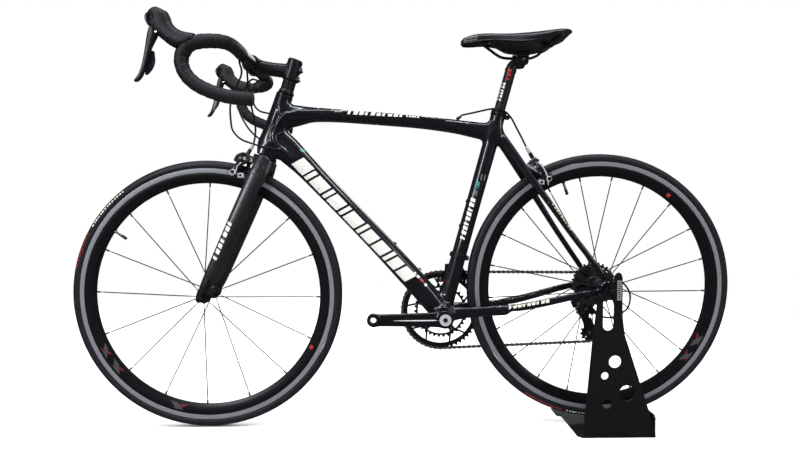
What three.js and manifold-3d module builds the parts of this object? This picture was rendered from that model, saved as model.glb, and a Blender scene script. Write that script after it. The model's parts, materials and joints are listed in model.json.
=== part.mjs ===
// A road bicycle standing in a one-sided rear axle stand.
// Millimetres, +Z up. The front of the bicycle is towards -X and its left side towards -Y.
// The origin is on the ground, half way between the two axles, in the bicycle's middle plane.
import * as THREE from 'three';
import { mergeVertices } from 'three/addons/utils/BufferGeometryUtils.js';
import Module from 'manifold-3d';

const wasm = await Module();
wasm.setup();

// ---- Driving dimensions ----
const GAP = 0.3; // room between pieces that touch

const WHEELBASE = 981;
const WHEEL_R = 334; // outside of a 700 x 23 tyre
const TYRE_HALF = 11.4;
const RIM_OUTER_R = 314.7;
const RIM_INNER_R = 277.5;
const RIM_HALF = 9.8;
const REAR_LIFT = 18; // how far the stand holds the rear wheel off the ground
const FRONT_AXLE = [-WHEELBASE / 2, WHEEL_R];
const REAR_AXLE = [WHEELBASE / 2, WHEEL_R + REAR_LIFT];
const FRONT_SPOKES = 16;
const REAR_SPOKES = 21;
const WHEEL_STEPS = 48;

const FORK_END_Y = 50; // half of the 100 mm front hub
const REAR_END_Y = 65; // half of the 130 mm rear hub

const HEAD_ANGLE = THREE.MathUtils.degToRad(16.8); // steering axis, from vertical
const HEAD_TOP = new THREE.Vector3(-294, 0, 831.5);
const HEAD_LENGTH = 161;
const STEERER_R = 14.3;

const SEAT_ANGLE = THREE.MathUtils.degToRad(15.4); // seat tube, from vertical
const POST_R = 13.6;
const SEAT_TUBE_LENGTH = 516;

const BB = [96, 282]; // bottom bracket centre
const CRANK_LENGTH = 172.5;
const OUTER_TEETH = 50;
const INNER_TEETH = 34;
const COG_TEETH = 14;
const CHAIN_PITCH = 12.7;
const CHAIN_Y = 48;
const CHAIN_HALF = 2.8;
const UPPER_PULLEY = [480, 284];
const LOWER_PULLEY = [490, 219];
const PULLEY_R = 19;

const BAR_HALF = 205; // centre line of the drops
const BAR_R = 15.9;
const BARE_HALF = 96; // half of the untaped middle of the bar
const TAPE_R = 15;

const STAND_PLATE = 4;
const STAND_OUT_Y = -88;
const STAND_IN_Y = STAND_OUT_Y + STAND_PLATE;
const HOOK_SCREWS = [[462, 334], [505, 322]];

// ---- Finishes ----
function finish(color, roughness, metalness = 0) {
  return new THREE.MeshStandardMaterial({ color, roughness, metalness });
}
const GLOSS_FRAME = finish(0x08090d, 0.18);
const SATIN_FORK = finish(0x17181b, 0.42);
const MATTE_BLACK = finish(0x121214, 0.6);
const RUBBER = finish(0x0c0c0d, 0.8);
const TYRE = finish(0x0e0e0f, 0.85);
const RIM = finish(0x141416, 0.4, 0.4);
const STEEL = finish(0x8a8c90, 0.35, 0.9);
const DARK_ALLOY = finish(0x1a1b1e, 0.3, 0.6);
const GLOSS_CRANK = finish(0x0b0b0d, 0.2, 0.3);
const STAND_COAT = finish(0x101011, 0.55);
const LEVER_GREY = finish(0x23262e, 0.35, 0.4);
const SADDLE = finish(0x0d0d0f, 0.5);

// ---- Working with closed shapes ----
const v3 = (x, y, z) => new THREE.Vector3(x, y, z);

function welded(geometry) {
  const bare = geometry.index ? geometry.toNonIndexed() : geometry.clone();
  bare.deleteAttribute('normal');
  bare.deleteAttribute('uv');
  return mergeVertices(bare, 1e-4);
}

function signedVolume(geometry) {
  const p = geometry.attributes.position;
  const index = geometry.index;
  const [a, b, c] = [v3(), v3(), v3()];
  let sum = 0;
  for (let i = 0; i < index.count; i += 3) {
    a.fromBufferAttribute(p, index.getX(i));
    b.fromBufferAttribute(p, index.getX(i + 1));
    c.fromBufferAttribute(p, index.getX(i + 2));
    sum += a.dot(b.cross(c));
  }
  return sum;
}

// A welded copy without collapsed triangles, with its faces pointing out.
function closed(geometry) {
  const out = welded(geometry);
  const old = out.index.array;
  const kept = [];
  for (let i = 0; i < old.length; i += 3) {
    const [a, b, c] = [old[i], old[i + 1], old[i + 2]];
    if (a !== b && b !== c && c !== a) kept.push(a, b, c);
  }
  out.setIndex(kept);
  if (signedVolume(out) < 0) {
    for (let i = 0; i < kept.length; i += 3) [kept[i], kept[i + 1]] = [kept[i + 1], kept[i]];
    out.setIndex(kept);
  }
  return out;
}

function solid(geometry) {
  const shape = closed(geometry);
  return new wasm.Manifold(new wasm.Mesh({
    numProp: 3,
    vertProperties: Float32Array.from(shape.attributes.position.array),
    triVerts: Uint32Array.from(shape.index.array),
  }));
}

function geometryOf(body) {
  const mesh = body.getMesh();
  const out = new THREE.BufferGeometry();
  out.setAttribute('position', new THREE.BufferAttribute(mesh.vertProperties, 3));
  out.setIndex(new THREE.BufferAttribute(mesh.triVerts, 1));
  return out;
}

function join(...shapes) {
  return geometryOf(shapes.map(solid).reduce((a, b) => a.add(b)));
}

function cut(shape, ...tools) {
  return geometryOf(tools.map(solid).reduce((a, b) => a.subtract(b), solid(shape)));
}

// ---- Shape makers ----
// One ring of points round a centre: a superellipse with half sizes a and b along two directions.
function ring(centre, across, along, a, b, sides, power) {
  const points = [];
  for (let i = 0; i < sides; i += 1) {
    const angle = (2 * Math.PI * (i + 0.5)) / sides;
    const c = Math.cos(angle);
    const s = Math.sin(angle);
    const x = Math.sign(c) * Math.abs(c) ** (2 / power) * a;
    const y = Math.sign(s) * Math.abs(s) ** (2 / power) * b;
    points.push(centre.clone().addScaledVector(across, x).addScaledVector(along, y));
  }
  return points;
}

// A closed skin over rings that all have the same number of points, with a fan over each end.
function loft(rings) {
  const sides = rings[0].length;
  const position = [];
  const index = [];
  for (const points of rings) for (const p of points) position.push(p.x, p.y, p.z);
  for (let r = 0; r + 1 < rings.length; r += 1) {
    for (let i = 0; i < sides; i += 1) {
      const j = (i + 1) % sides;
      const [a, b] = [r * sides + i, r * sides + j];
      const [c, d] = [a + sides, b + sides];
      index.push(a, b, d, a, d, c);
    }
  }
  for (const [r, flip] of [[0, true], [rings.length - 1, false]]) {
    const middle = rings[r].reduce((sum, p) => sum.add(p), v3(0, 0, 0)).divideScalar(sides);
    const centre = position.length / 3;
    position.push(middle.x, middle.y, middle.z);
    for (let i = 0; i < sides; i += 1) {
      const [a, b] = [r * sides + i, r * sides + ((i + 1) % sides)];
      index.push(centre, flip ? b : a, flip ? a : b);
    }
  }
  const out = new THREE.BufferGeometry();
  out.setAttribute('position', new THREE.Float32BufferAttribute(position, 3));
  out.setIndex(index);
  return out;
}

// A tube through stations [x, y, z, depth, width]. Depth lies in the bicycle's plane.
function spine(stations, { sides = 8, power = 2, grow = 0 } = {}) {
  const centres = stations.map(([x, y, z]) => v3(x, y, z));
  const rings = stations.map(([, , , deep, wide], i) => {
    const before = centres[Math.max(i - 1, 0)];
    const after = centres[Math.min(i + 1, centres.length - 1)];
    const ahead = after.clone().sub(before).normalize();
    const side = v3(0, 1, 0).addScaledVector(ahead, -ahead.y).normalize();
    const up = side.clone().cross(ahead);
    return ring(centres[i], side, up, wide / 2 + grow, deep / 2 + grow, sides, power);
  });
  return loft(rings);
}

// A revolved piece about the Y axis, from [radius, y] points; a profile off the axis closes on itself.
function turned(profile, steps, centre = [0, 0, 0]) {
  const points = profile.map(([r, y]) => new THREE.Vector2(r, y));
  const onAxis = profile[0][0] === 0 && profile[profile.length - 1][0] === 0;
  if (!onAxis) points.push(points[0].clone());
  return new THREE.LatheGeometry(points, steps).translate(...centre);
}

function disc(radius, y0, y1, steps, [x, z]) {
  return turned([[0, y0], [radius, y0], [radius, y1], [0, y1]], steps, [x, 0, z]);
}

function box(x0, x1, y0, y1, z0, z1) {
  return new THREE.BoxGeometry(x1 - x0, y1 - y0, z1 - z0)
    .translate((x0 + x1) / 2, (y0 + y1) / 2, (z0 + z1) / 2);
}

// A flat plate in the bicycle's plane: an outline of [x, z] points with holes, from y0 to y1.
function plate(outline, y0, y1, holes = []) {
  const shape = new THREE.Shape(outline.map(([x, z]) => new THREE.Vector2(x, z)));
  for (const hole of holes) {
    shape.holes.push(new THREE.Path(hole.map(([x, z]) => new THREE.Vector2(x, z))));
  }
  return new THREE.ExtrudeGeometry(shape, { depth: y1 - y0, bevelEnabled: false })
    .rotateX(Math.PI / 2)
    .translate(0, y1, 0);
}

function circle([x, z], radius, steps) {
  return Array.from({ length: steps }, (_, i) => {
    const angle = (2 * Math.PI * i) / steps;
    return [x + radius * Math.cos(angle), z + radius * Math.sin(angle)];
  });
}

// A round rod or cable along a smooth curve through the points.
function rod(points, radius, { sides = 6, steps = 20 } = {}) {
  const curve = new THREE.CatmullRomCurve3(points.map((p) => v3(...p)), false, 'centripetal');
  const section = new THREE.Shape(circle([0, 0], radius, sides).map(([x, y]) => new THREE.Vector2(x, y)));
  return new THREE.ExtrudeGeometry(section, { steps, extrudePath: curve, bevelEnabled: false });
}

function straight(from, to, radius, sides) {
  const line = v3(...to).sub(v3(...from));
  return new THREE.CylinderGeometry(radius, radius, line.length(), sides)
    .applyQuaternion(new THREE.Quaternion().setFromUnitVectors(v3(0, 1, 0), line.clone().normalize()))
    .translate(...v3(...from).addScaledVector(line, 0.5).toArray());
}

const mirrored = (points, side) => points.map(([x, y, z, ...rest]) => [x, side * y, z, ...rest]);

// ---- The scene ----
const bicycle = new THREE.Group();

function add(name, geometry, material, group = bicycle) {
  const mesh = new THREE.Mesh(closed(geometry), material);
  mesh.name = name;
  group.add(mesh);
  return mesh;
}

function groupAt([x, z]) {
  const group = new THREE.Group();
  group.position.set(x, 0, z);
  bicycle.add(group);
  return group;
}

const SIDES = [['left', -1], ['right', 1]];

// ---- Wheels ----
const TYRE_PROFILE = [
  [315.1, -8.5], [321, -TYRE_HALF], [329.5, -8.5], [WHEEL_R, 0],
  [329.5, 8.5], [321, TYRE_HALF], [315.1, 8.5],
];
const RIM_PROFILE = [
  [RIM_OUTER_R, -9.4], [303, -RIM_HALF], [RIM_INNER_R, -3.6],
  [RIM_INNER_R, 3.6], [303, RIM_HALF], [RIM_OUTER_R, 9.4],
];

function spoke(angle, hubR, hubY, hubTurn = 0) {
  const rimR = RIM_INNER_R - 1.1;
  const at = (r, a, y) => [r * Math.cos(a), y, r * Math.sin(a)];
  return straight(at(hubR, angle + hubTurn, hubY), at(rimR, angle, 0), 1.1, 3);
}

function frontHub() {
  const half = [[2.9, 49.6], [8, 49.6], [8, 38], [16, 36], [16, 31], [8, 27]];
  const back = half.map(([r, y]) => [r, -y]).reverse();
  const spokes = [];
  for (let i = 0; i < FRONT_SPOKES; i += 1) {
    const angle = THREE.MathUtils.degToRad(88.5 + (i * 360) / FRONT_SPOKES);
    spokes.push(spoke(angle, 14, i % 2 ? 33.5 : -33.5));
  }
  return join(turned([...half, ...back], 14), ...spokes);
}

function rearHub() {
  const profile = [
    [2.9, 64.6], [7.6, 64.6], [7.6, 23], [22, 22.5], [22, 17], [9, 13], [9, -31],
    [16, -34], [16, -38.5], [9, -41], [7.6, -64.6], [2.9, -64.6],
  ];
  const spokes = [];
  for (let i = 0; i < REAR_SPOKES; i += 1) {
    const angle = THREE.MathUtils.degToRad(14.5 + (i * 360) / REAR_SPOKES);
    if (i % 3 === 0) spokes.push(spoke(angle, 14, -36));
    else if (i % 3 === 1) spokes.push(spoke(angle, 20, 18.3, 1.15));
    else spokes.push(spoke(angle, 20, 21.2, -1.15));
  }
  return join(turned(profile, 14), ...spokes);
}

function addWheel(end, axle, hub, valveAngle) {
  const group = groupAt(axle);
  const valve = (r) => [r * Math.cos(valveAngle), 0, r * Math.sin(valveAngle)];
  const rim = join(turned(RIM_PROFILE, WHEEL_STEPS), straight(valve(258), valve(290), 2.6, 6));
  add(`${end}_tyre`, turned(TYRE_PROFILE, WHEEL_STEPS), TYRE, group);
  add(`${end}_rim`, rim, RIM, group);
  add(`${end}_hub`, hub, DARK_ALLOY, group);
}
addWheel('front', FRONT_AXLE, frontHub(), THREE.MathUtils.degToRad(145.3));
addWheel('rear', REAR_AXLE, rearHub(), THREE.MathUtils.degToRad(109));

// ---- Frame ----
const steeringDown = v3(-Math.sin(HEAD_ANGLE), 0, -Math.cos(HEAD_ANGLE));
const seatUp = v3(Math.sin(SEAT_ANGLE), 0, Math.cos(SEAT_ANGLE));
const bbPoint = v3(BB[0], 0, BB[1]);

// A piece turned about Y is tipped so that its axis follows a direction, then moved to a point.
function tipped(geometry, direction, point) {
  const turn = new THREE.Quaternion().setFromUnitVectors(v3(0, 1, 0), direction);
  return geometry.applyQuaternion(turn).translate(point.x, point.y, point.z);
}

function headTube(grow = 0) {
  const bore = grow ? 0 : STEERER_R + 0.7;
  const profile = [
    [bore, -grow], [18.6 + grow, -grow], [18.4 + grow, 45], [20 + grow, 105],
    [23 + grow, HEAD_LENGTH - 6], [23 + grow, HEAD_LENGTH + grow], [bore, HEAD_LENGTH + grow],
  ];
  return tipped(turned(profile, 14), steeringDown, HEAD_TOP);
}

function seatTube(grow = 0) {
  const along = [[12, 40, 44], [60, 40, 42], [140, 37, 38], [300, 36, 35], [430, 37, 35], [SEAT_TUBE_LENGTH, 36, 35]];
  const stations = along.map(([t, deep, wide]) => {
    const p = bbPoint.clone().addScaledVector(seatUp, t);
    return [p.x, 0, p.z, deep, wide];
  });
  return spine(stations, { sides: 12, grow });
}

function postBore(radius, from, to) {
  const at = (t) => bbPoint.clone().addScaledVector(seatUp, t).toArray();
  return straight(at(from), at(to), radius, 14);
}

const shell = (grow = 0) => disc(23.5 + grow, -38.5 - grow, 38.5 + grow, 18, BB);
const shellBore = disc(12.7, -60, 60, 14, BB);

const topTube = (grow = 0) => spine([
  [-300, 0, 776, 62, 34], [-262, 0, 779, 50, 35], [-232, 0, 781, 38, 37], [-180, 0, 780, 33, 38],
  [-67, 0, 772, 31, 38], [40, 0, 764, 32, 37], [130, 0, 753, 35, 34], [190, 0, 743, 44, 31], [232, 0, 738, 50, 28],
], { sides: 10, grow });

const downTube = (grow = 0) => spine([
  [-322, 0, 722, 66, 38], [-290, 0, 696, 68, 42], [-250, 0, 657, 58, 46], [-200, 0, 605, 54, 48],
  [-70, 0, 470, 54, 50], [45, 0, 344, 56, 54], [86, 0, 296, 54, 58],
], { sides: 10, power: 2.4, grow });

function chainstay(side, grow = 0) {
  const stations = mirrored([
    [100, 22, 284, 44, 18], [145, 27, 287, 50, 15], [212, 35, 302, 38, 13], [248, 40, 305, 28, 13],
    [340, 51, 328, 20, 13], [415, 60, 341, 17, 10], [470, 66.2, 349, 16, 4.6], [484, 67.4, 351, 18, 4],
  ], side);
  return spine(stations, { grow });
}

function seatstay(side) {
  const stations = mirrored([
    [228, 9, 742, 26, 13], [258, 13, 700, 25, 13], [306, 27, 630, 20, 11], [350, 41, 566, 16, 11],
    [400, 51, 493, 14, 12], [446, 61, 430, 14, 10], [474, 67, 391, 15, 5.2], [481, 67.4, 374, 15, 4.4],
  ], side);
  return spine(stations);
}

// The plate at a stay's end, open below for the axle; the right one also carries the gear hanger.
function dropout(side, grow = 0) {
  const [x, z] = REAR_AXLE;
  const outline = [
    [x - 16, z + 14], [x - 6, z + 18], [x + 8, z + 16], [x + 15, z + 5], [x + 14, z - 12],
    [x + 5.2, z - 12], [x + 5.2, z], [x + 2.6, z + 4.5], [x - 2.6, z + 4.5], [x - 5.2, z],
    [x - 5.2, z - 12], [x - 16, z - 8],
  ];
  if (side > 0) outline.splice(4, 1, [x + 18, z - 26], [x + 8, z - 32], [x + 6, z - 20]);
  const inner = REAR_END_Y + GAP - grow;
  const outer = REAR_END_Y + 4.7 + grow;
  return side > 0 ? plate(outline, inner, outer) : plate(outline, -outer, -inner);
}

function addFrame() {
  const skewerPassage = disc(4.8, -90, 90, 10, REAR_AXLE);
  add('head_tube', headTube(), GLOSS_FRAME);
  add('seat_tube', cut(seatTube(), shell(GAP), postBore(POST_R + 0.35, 336, 560)), GLOSS_FRAME);
  add('bottom_bracket_shell', cut(shell(), shellBore), GLOSS_FRAME);
  add('top_tube', cut(topTube(), headTube(GAP), seatTube(GAP)), GLOSS_FRAME);
  const downCutters = [headTube(GAP), topTube(GAP), shell(GAP), seatTube(GAP)];
  add('down_tube', cut(downTube(), ...downCutters), GLOSS_FRAME);
  for (const [name, side] of SIDES) {
    const stay = join(chainstay(side), dropout(side));
    const stayCutters = [shell(GAP), seatTube(GAP), downTube(GAP), skewerPassage];
    add(`${name}_chainstay`, cut(stay, ...stayCutters), GLOSS_FRAME);
    const stayEnd = [seatTube(GAP), topTube(GAP), chainstay(side, GAP), dropout(side, GAP)];
    add(`${name}_seatstay`, cut(seatstay(side), ...stayEnd), GLOSS_FRAME);
  }
}
addFrame();

// ---- Seat ----
function addSeat() {
  const collarBase = bbPoint.clone().addScaledVector(seatUp, SEAT_TUBE_LENGTH + GAP);
  const ringShape = turned([[POST_R + 0.5, 0], [19.5, 0], [19.5, 13], [POST_R + 0.5, 13]], 14);
  const lug = box(17, 29, 2, 12, -6, 6);
  const bore = turned([[0, -5], [POST_R + 0.5, -5], [POST_R + 0.5, 20], [0, 20]], 14);
  add('seat_collar', tipped(cut(join(ringShape, lug), bore), seatUp, collarBase), MATTE_BLACK);

  const headCentre = [289, 0, 913];
  const post = postBore(POST_R, 384, 640);
  const neckStart = bbPoint.clone().addScaledVector(seatUp, 634);
  const neck = spine([
    [neckStart.x, 0, neckStart.z, 26.5, 26.5], [268.5, 0, 905.5, 25, 26], [278, 0, 912, 18, 25], [288, 0, 912.5, 15, 24],
  ]);
  const barrel = disc(10, -13.8, 13.8, 12, [headCentre[0], headCentre[2]]);
  add('seatpost', join(post, neck, barrel), MATTE_BLACK);

  const cheeks = SIDES.map(([, s]) => box(275, 303, ...[s * 14.6, s * 18].sort((a, b) => a - b), 902, 926.5));
  add('saddle_clamp', join(box(273, 305, -28, 28, 925.4, 932), ...cheeks), DARK_ALLOY);

  const half = [
    [360, 38, 950], [347, 34.5, 940.5], [332, 30, 930], [309, 22.2, 920.8], [288, 22, 921], [262, 22, 921],
    [240, 22, 926.5], [212, 19, 943], [194, 12, 945],
  ];
  const loop = [...half, [188, 0, 945], ...mirrored(half, -1).reverse()];
  add('saddle_rails', rod(loop, 3.5, { steps: 28 }), STEEL);

  // Saddle sections: x, top, side, wing bottom, underside, half width.
  const sections = [
    [139, 957, 954, 951, 951, 8], [145, 966, 957.5, 948.5, 949, 14], [165, 975, 962, 947.5, 950, 18.5],
    [185, 978, 964, 948, 952, 21], [205, 979, 964, 949, 954, 24], [235, 977, 961, 948, 955, 32],
    [265, 976, 955, 940.5, 956, 44], [290, 976.5, 951, 935.5, 957, 55], [312, 977.5, 951, 935, 958.5, 62],
    [335, 979.5, 958, 946, 960, 66], [355, 981.5, 965, 954, 962, 67], [375, 983.5, 970, 958, 965, 65.5],
    [392, 984.5, 973, 963, 969, 60], [404, 983, 975, 968.5, 972, 51], [411, 979.5, 976, 973, 974, 40],
  ];
  const rings = sections.map(([x, top, sideZ, wing, under, w]) => [
    v3(x, w, sideZ), v3(x, w * 0.82, (top * 2 + sideZ) / 3), v3(x, w * 0.42, top), v3(x, 0, top - 1),
    v3(x, -w * 0.42, top), v3(x, -w * 0.82, (top * 2 + sideZ) / 3), v3(x, -w, sideZ),
    v3(x, -w * 0.94, wing), v3(x, -w * 0.66, under), v3(x, 0, under),
    v3(x, w * 0.66, under), v3(x, w * 0.94, wing),
  ]);
  add('saddle', loft(rings), SADDLE);
}
addSeat();

// ---- Fork and steering ----
const steerAt = (t) => HEAD_TOP.clone().addScaledVector(steeringDown, t);

function fork() {
  const steerer = straight(steerAt(HEAD_LENGTH + 6).toArray(), steerAt(-42).toArray(), STEERER_R, 14);
  const base = steerAt(HEAD_LENGTH + GAP);
  const raceLow = steerAt(HEAD_LENGTH + 30);
  const race = tipped(turned([[0, 0], [23, 0], [25, 12], [22, 30], [0, 30]], 14), steeringDown, base);
  const blades = SIDES.map(([, side]) => spine(mirrored([
    [raceLow.x + 6, 12, raceLow.z + 18, 46, 24], [raceLow.x - 3, 26, raceLow.z - 4, 45, 21],
    [-369, 33, 607, 42, 19], [-405, 42, 527, 38, 17], [-445, 49, 437, 33, 14],
    [-476, 53.2, 368, 30, 8], [-489, 53.2, 339, 27, 5.4],
  ], side), { sides: 10 }));
  const whole = join(steerer, race, ...blades);
  const slot = [];
  for (const [, side] of SIDES) {
    const [low, high] = [side * 40, side * 62].sort((a, b) => a - b);
    slot.push(disc(4.8, low, high, 10, FRONT_AXLE));
    slot.push(box(FRONT_AXLE[0] - 4.7, FRONT_AXLE[0] + 4.7, low, high, 300, FRONT_AXLE[1]));
  }
  const hubRoom = disc(10, -FORK_END_Y - 0.2, FORK_END_Y + 0.2, 12, FRONT_AXLE);
  return cut(whole, ...slot, hubRoom);
}

function addSteering() {
  add('fork', fork(), SATIN_FORK);
  const spacerProfile = [[STEERER_R + GAP, 0], [19.5, 0], [18.2, 8], [16.4, 10], [16.4, 34], [STEERER_R + GAP, 34]];
  add('headset_spacers', tipped(turned(spacerProfile, 14), steeringDown.clone().negate(), steerAt(-GAP)), MATTE_BLACK);

  const barCentre = [-374, 901];
  const clampLow = steerAt(-34.7).toArray();
  const clampHigh = steerAt(-84).toArray();
  const body = spine([[-291, 0, 888, 34, 33], [-325, 0, 892, 32, 31], [-352, 0, 896.5, 33, 34], [-366, 0, 899, 38, 42]], { sides: 12 });
  const barBore = disc(BAR_R + GAP, -40, 40, 16, barCentre);
  const faceRoom = box(-420, -372.6, -30, 30, 860, 950);
  const blind = straight(steerAt(-30).toArray(), steerAt(-42.6).toArray(), STEERER_R + GAP, 14);
  const stem = join(straight(clampLow, clampHigh, 18.5, 14), body);
  add('stem', cut(stem, barBore, faceRoom, blind), DARK_ALLOY);
  const faceOuter = disc(21.5, -21, 21, 16, barCentre);
  add('stem_faceplate', cut(faceOuter, barBore, box(-373.2, -330, -30, 30, 860, 950)), DARK_ALLOY);

  const [barX, barZ] = barCentre;
  const bareBar = straight([barX, -BARE_HALF, barZ], [barX, BARE_HALF, barZ], BAR_R - 0.2, 12);
  add('handlebar', bareBar, DARK_ALLOY);

  const drop = [
    [-374, 96.6, 901], [-374, 130, 901], [-378, 168, 900], [-388, 190, 898], [-403, 202, 895.5], [-428, 205, 893],
    [-449, 205, 886], [-463, 205, 866], [-464, 205, 846], [-455, 205, 825], [-435, 205, 806],
    [-404, 205, 791], [-373, 205, 782], [-321, 205, 776],
  ];
  for (const [name, side] of SIDES) {
    add(`bar_tape_${name}`, rod(mirrored(drop, side), TAPE_R, { sides: 8, steps: 22 }), MATTE_BLACK);
    addShifter(name, side);
  }
}

function addShifter(name, side) {
  const y = BAR_HALF;
  const hoodStations = [
    [-458, y, 892, 37, 33], [-472, y, 898, 38, 32], [-488, y, 908, 37, 31], [-500, y, 919, 40, 30],
    [-509, y, 931, 44, 30], [-514, y, 941, 43, 29], [-514, y, 951, 30, 24], [-513, y, 957.5, 12, 12],
  ];
  const drop = [[-428, y, 893], [-449, y, 886], [-463, y, 866], [-464, y, 846], [-455, y, 825]];
  const tapeRoom = rod(mirrored(drop, side), TAPE_R + 1, { sides: 10, steps: 12 });
  const nest = straight([-415, side * y, 894], [-452, side * y, 889], TAPE_R + 1.6, 12);
  const hood = spine(mirrored(hoodStations, side), { power: 2.3 });
  const leverRoom = box(-560, -512.6, ...[side * (y - 30), side * (y + 30)].sort((a, b) => a - b), 850, 925);
  add(`hood_${name}`, cut(hood, tapeRoom, nest, leverRoom), RUBBER);

  const bladeStations = [
    [-520, y, 915, 13, 19], [-527, y, 902, 14, 16], [-533, y, 884, 12, 12],
    [-537.5, y, 862, 12, 10.5], [-544, y, 840, 13, 10.5], [-552, y, 823, 11, 10.5], [-559, y, 812, 8, 10],
  ];
  add(`brake_lever_${name}`, spine(mirrored(bladeStations, side), { sides: 8 }), LEVER_GREY);

  const inner = y - 9.5;
  const paddleStations = [
    [-518, inner, 884, 7, 5.5], [-522.5, inner, 872, 13, 5.5], [-528, inner, 856, 17, 5],
    [-533, inner, 843, 14, 4.6], [-539, inner, 833, 7, 4],
  ];
  add(`shift_paddle_${name}`, spine(mirrored(paddleStations, side), { sides: 8 }), LEVER_GREY);
}
addSteering();

// ---- Brakes ----
// A caliper arm's outline across the wheel: [distance from the middle plane, distance from the axle].
const ARM_OUTLINE = [
  [-3, 346], [-6, 356], [0, 363], [14, 362], [27, 352], [35, 338], [33, 318], [29, 303],
  [19.4, 303], [19.8, 315], [25, 334], [19, 344], [8, 347],
];
const ARM_THICK = 8;
const PAD = { inner: 11.9, outer: 20.6, low: 303.5, high: 314, half: 25 };

// Each arm is flat, set across the wheel at a given angle, and carries its brake pad.
function caliperArm(side, angle, layer) {
  const points = ARM_OUTLINE.map(([y, r]) => new THREE.Vector2(r, y * side));
  const outline = new THREE.ExtrudeGeometry(new THREE.Shape(points), { depth: ARM_THICK, bevelEnabled: false });
  // The shape's first axis points away from the axle, its second along Y, its depth along the rim.
  const radial = v3(Math.cos(angle), 0, Math.sin(angle));
  const along = radial.clone().cross(v3(0, 1, 0));
  const frame = new THREE.Matrix4().makeBasis(radial, v3(0, 1, 0), along);
  outline.translate(0, 0, layer);
  const pad = new THREE.BoxGeometry(PAD.high - PAD.low, PAD.outer - PAD.inner, 2 * PAD.half);
  pad.translate((PAD.high + PAD.low) / 2, (side * (PAD.outer + PAD.inner)) / 2, layer + ARM_THICK / 2);
  return join(outline, pad).applyMatrix4(frame);
}

function addCaliper(end, axle, angle) {
  const group = groupAt(axle);
  for (const [name, side] of SIDES) {
    const layer = side < 0 ? GAP : -ARM_THICK - GAP;
    add(`${end}_brake_arm_${name}`, caliperArm(side, angle, layer), DARK_ALLOY, group);
  }
}
addCaliper('front', FRONT_AXLE, THREE.MathUtils.degToRad(74.5));
addCaliper('rear', REAR_AXLE, THREE.MathUtils.degToRad(117.5));

// ---- Skewers ----
function skewer(axle, endY, headDepth, neckR) {
  const head = endY + 5;
  const profile = [
    [0, -head - headDepth], [8, -head - headDepth + 3], [8, -head - headDepth + 8], [neckR, -head - headDepth + 8.4],
    [neckR, -head - 3], [8, -head - 3], [8, -head - GAP], [2.5, -head - GAP], [2.5, head + GAP],
    [9, head + GAP], [9, head + 6], [5, head + 13], [0, head + 13],
  ];
  return turned(profile, 12, [axle[0], 0, axle[1]]);
}

function quickLever(axle, y, rise) {
  const [x, z] = axle;
  return spine([
    [x - 0.2 * rise[0], y, z + 10.2, 5, 8], [x - 0.3 * rise[0], y - 1, z + 16, 5, 11],
    [x - 0.7 * rise[0], y - 1.5, z + 0.7 * rise[1], 5, 11], [x - rise[0], y - 1, z + rise[1], 4, 8],
  ].map(([px, py, pz, deep, wide]) => [px, py, pz, wide, deep]), { sides: 8 });
}
const REAR_HEAD_Y = -REAR_END_Y - 5 - 27 + 6;
const FRONT_HEAD_Y = -FORK_END_Y - 6 - 14 + 6;
add('rear_skewer', skewer(REAR_AXLE, REAR_END_Y, 27, 3.9), DARK_ALLOY);
add('rear_quick_release_lever', quickLever(REAR_AXLE, REAR_HEAD_Y, [10, 48]), MATTE_BLACK);
add('front_skewer', skewer(FRONT_AXLE, FORK_END_Y + 1.1, 13.2, 4.4), DARK_ALLOY);
add('front_quick_release_lever', quickLever(FRONT_AXLE, FRONT_HEAD_Y, [-20, 46]), MATTE_BLACK);

// ---- Drivetrain ----
const pitchRadius = (teeth) => CHAIN_PITCH / (2 * Math.sin(Math.PI / teeth));

function toothed(teeth, centre, y0, y1, innerR) {
  const r = pitchRadius(teeth);
  const outline = [];
  for (let i = 0; i < teeth; i += 1) {
    const angle = (2 * Math.PI * i) / teeth;
    const next = (2 * Math.PI * (i + 0.5)) / teeth;
    outline.push([centre[0] + (r + 2.6) * Math.cos(angle), centre[1] + (r + 2.6) * Math.sin(angle)]);
    outline.push([centre[0] + (r - 2) * Math.cos(next), centre[1] + (r - 2) * Math.sin(next)]);
  }
  return plate(outline, y0, y1, [circle(centre, innerR, 20)]);
}

// The belt line round circles [x, z, radius, turn], turn +1 where the belt runs anticlockwise
// as seen from the left side. Gives points along each arc between the tangents.
function beltLine(circles, step) {
  const tangents = circles.map(([x0, z0, r0, t0], i) => {
    const [x1, z1, r1, t1] = circles[(i + 1) % circles.length];
    const [dx, dz] = [x1 - x0, z1 - z0];
    const distance = Math.hypot(dx, dz);
    const heading = Math.atan2(dz, dx);
    const lean = Math.asin((t0 * r0 - t1 * r1) / distance);
    const normal = heading + lean - Math.PI / 2;
    return {
      leave: [x0 + t0 * r0 * Math.cos(normal), z0 + t0 * r0 * Math.sin(normal)],
      arrive: [x1 + t1 * r1 * Math.cos(normal), z1 + t1 * r1 * Math.sin(normal)],
    };
  });
  const line = [];
  circles.forEach(([x, z, r, turn], i) => {
    const from = tangents[(i + circles.length - 1) % circles.length].arrive;
    const to = tangents[i].leave;
    const start = Math.atan2(from[1] - z, from[0] - x);
    let sweep = Math.atan2(to[1] - z, to[0] - x) - start;
    while (sweep * turn < 0) sweep += turn * 2 * Math.PI;
    while (Math.abs(sweep) > 2 * Math.PI) sweep -= turn * 2 * Math.PI;
    const count = Math.max(2, Math.ceil(Math.abs(sweep) / step));
    for (let k = 0; k <= count; k += 1) {
      const a = start + (sweep * k) / count;
      line.push([x + r * Math.cos(a), z + r * Math.sin(a)]);
    }
  });
  return line;
}

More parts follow.
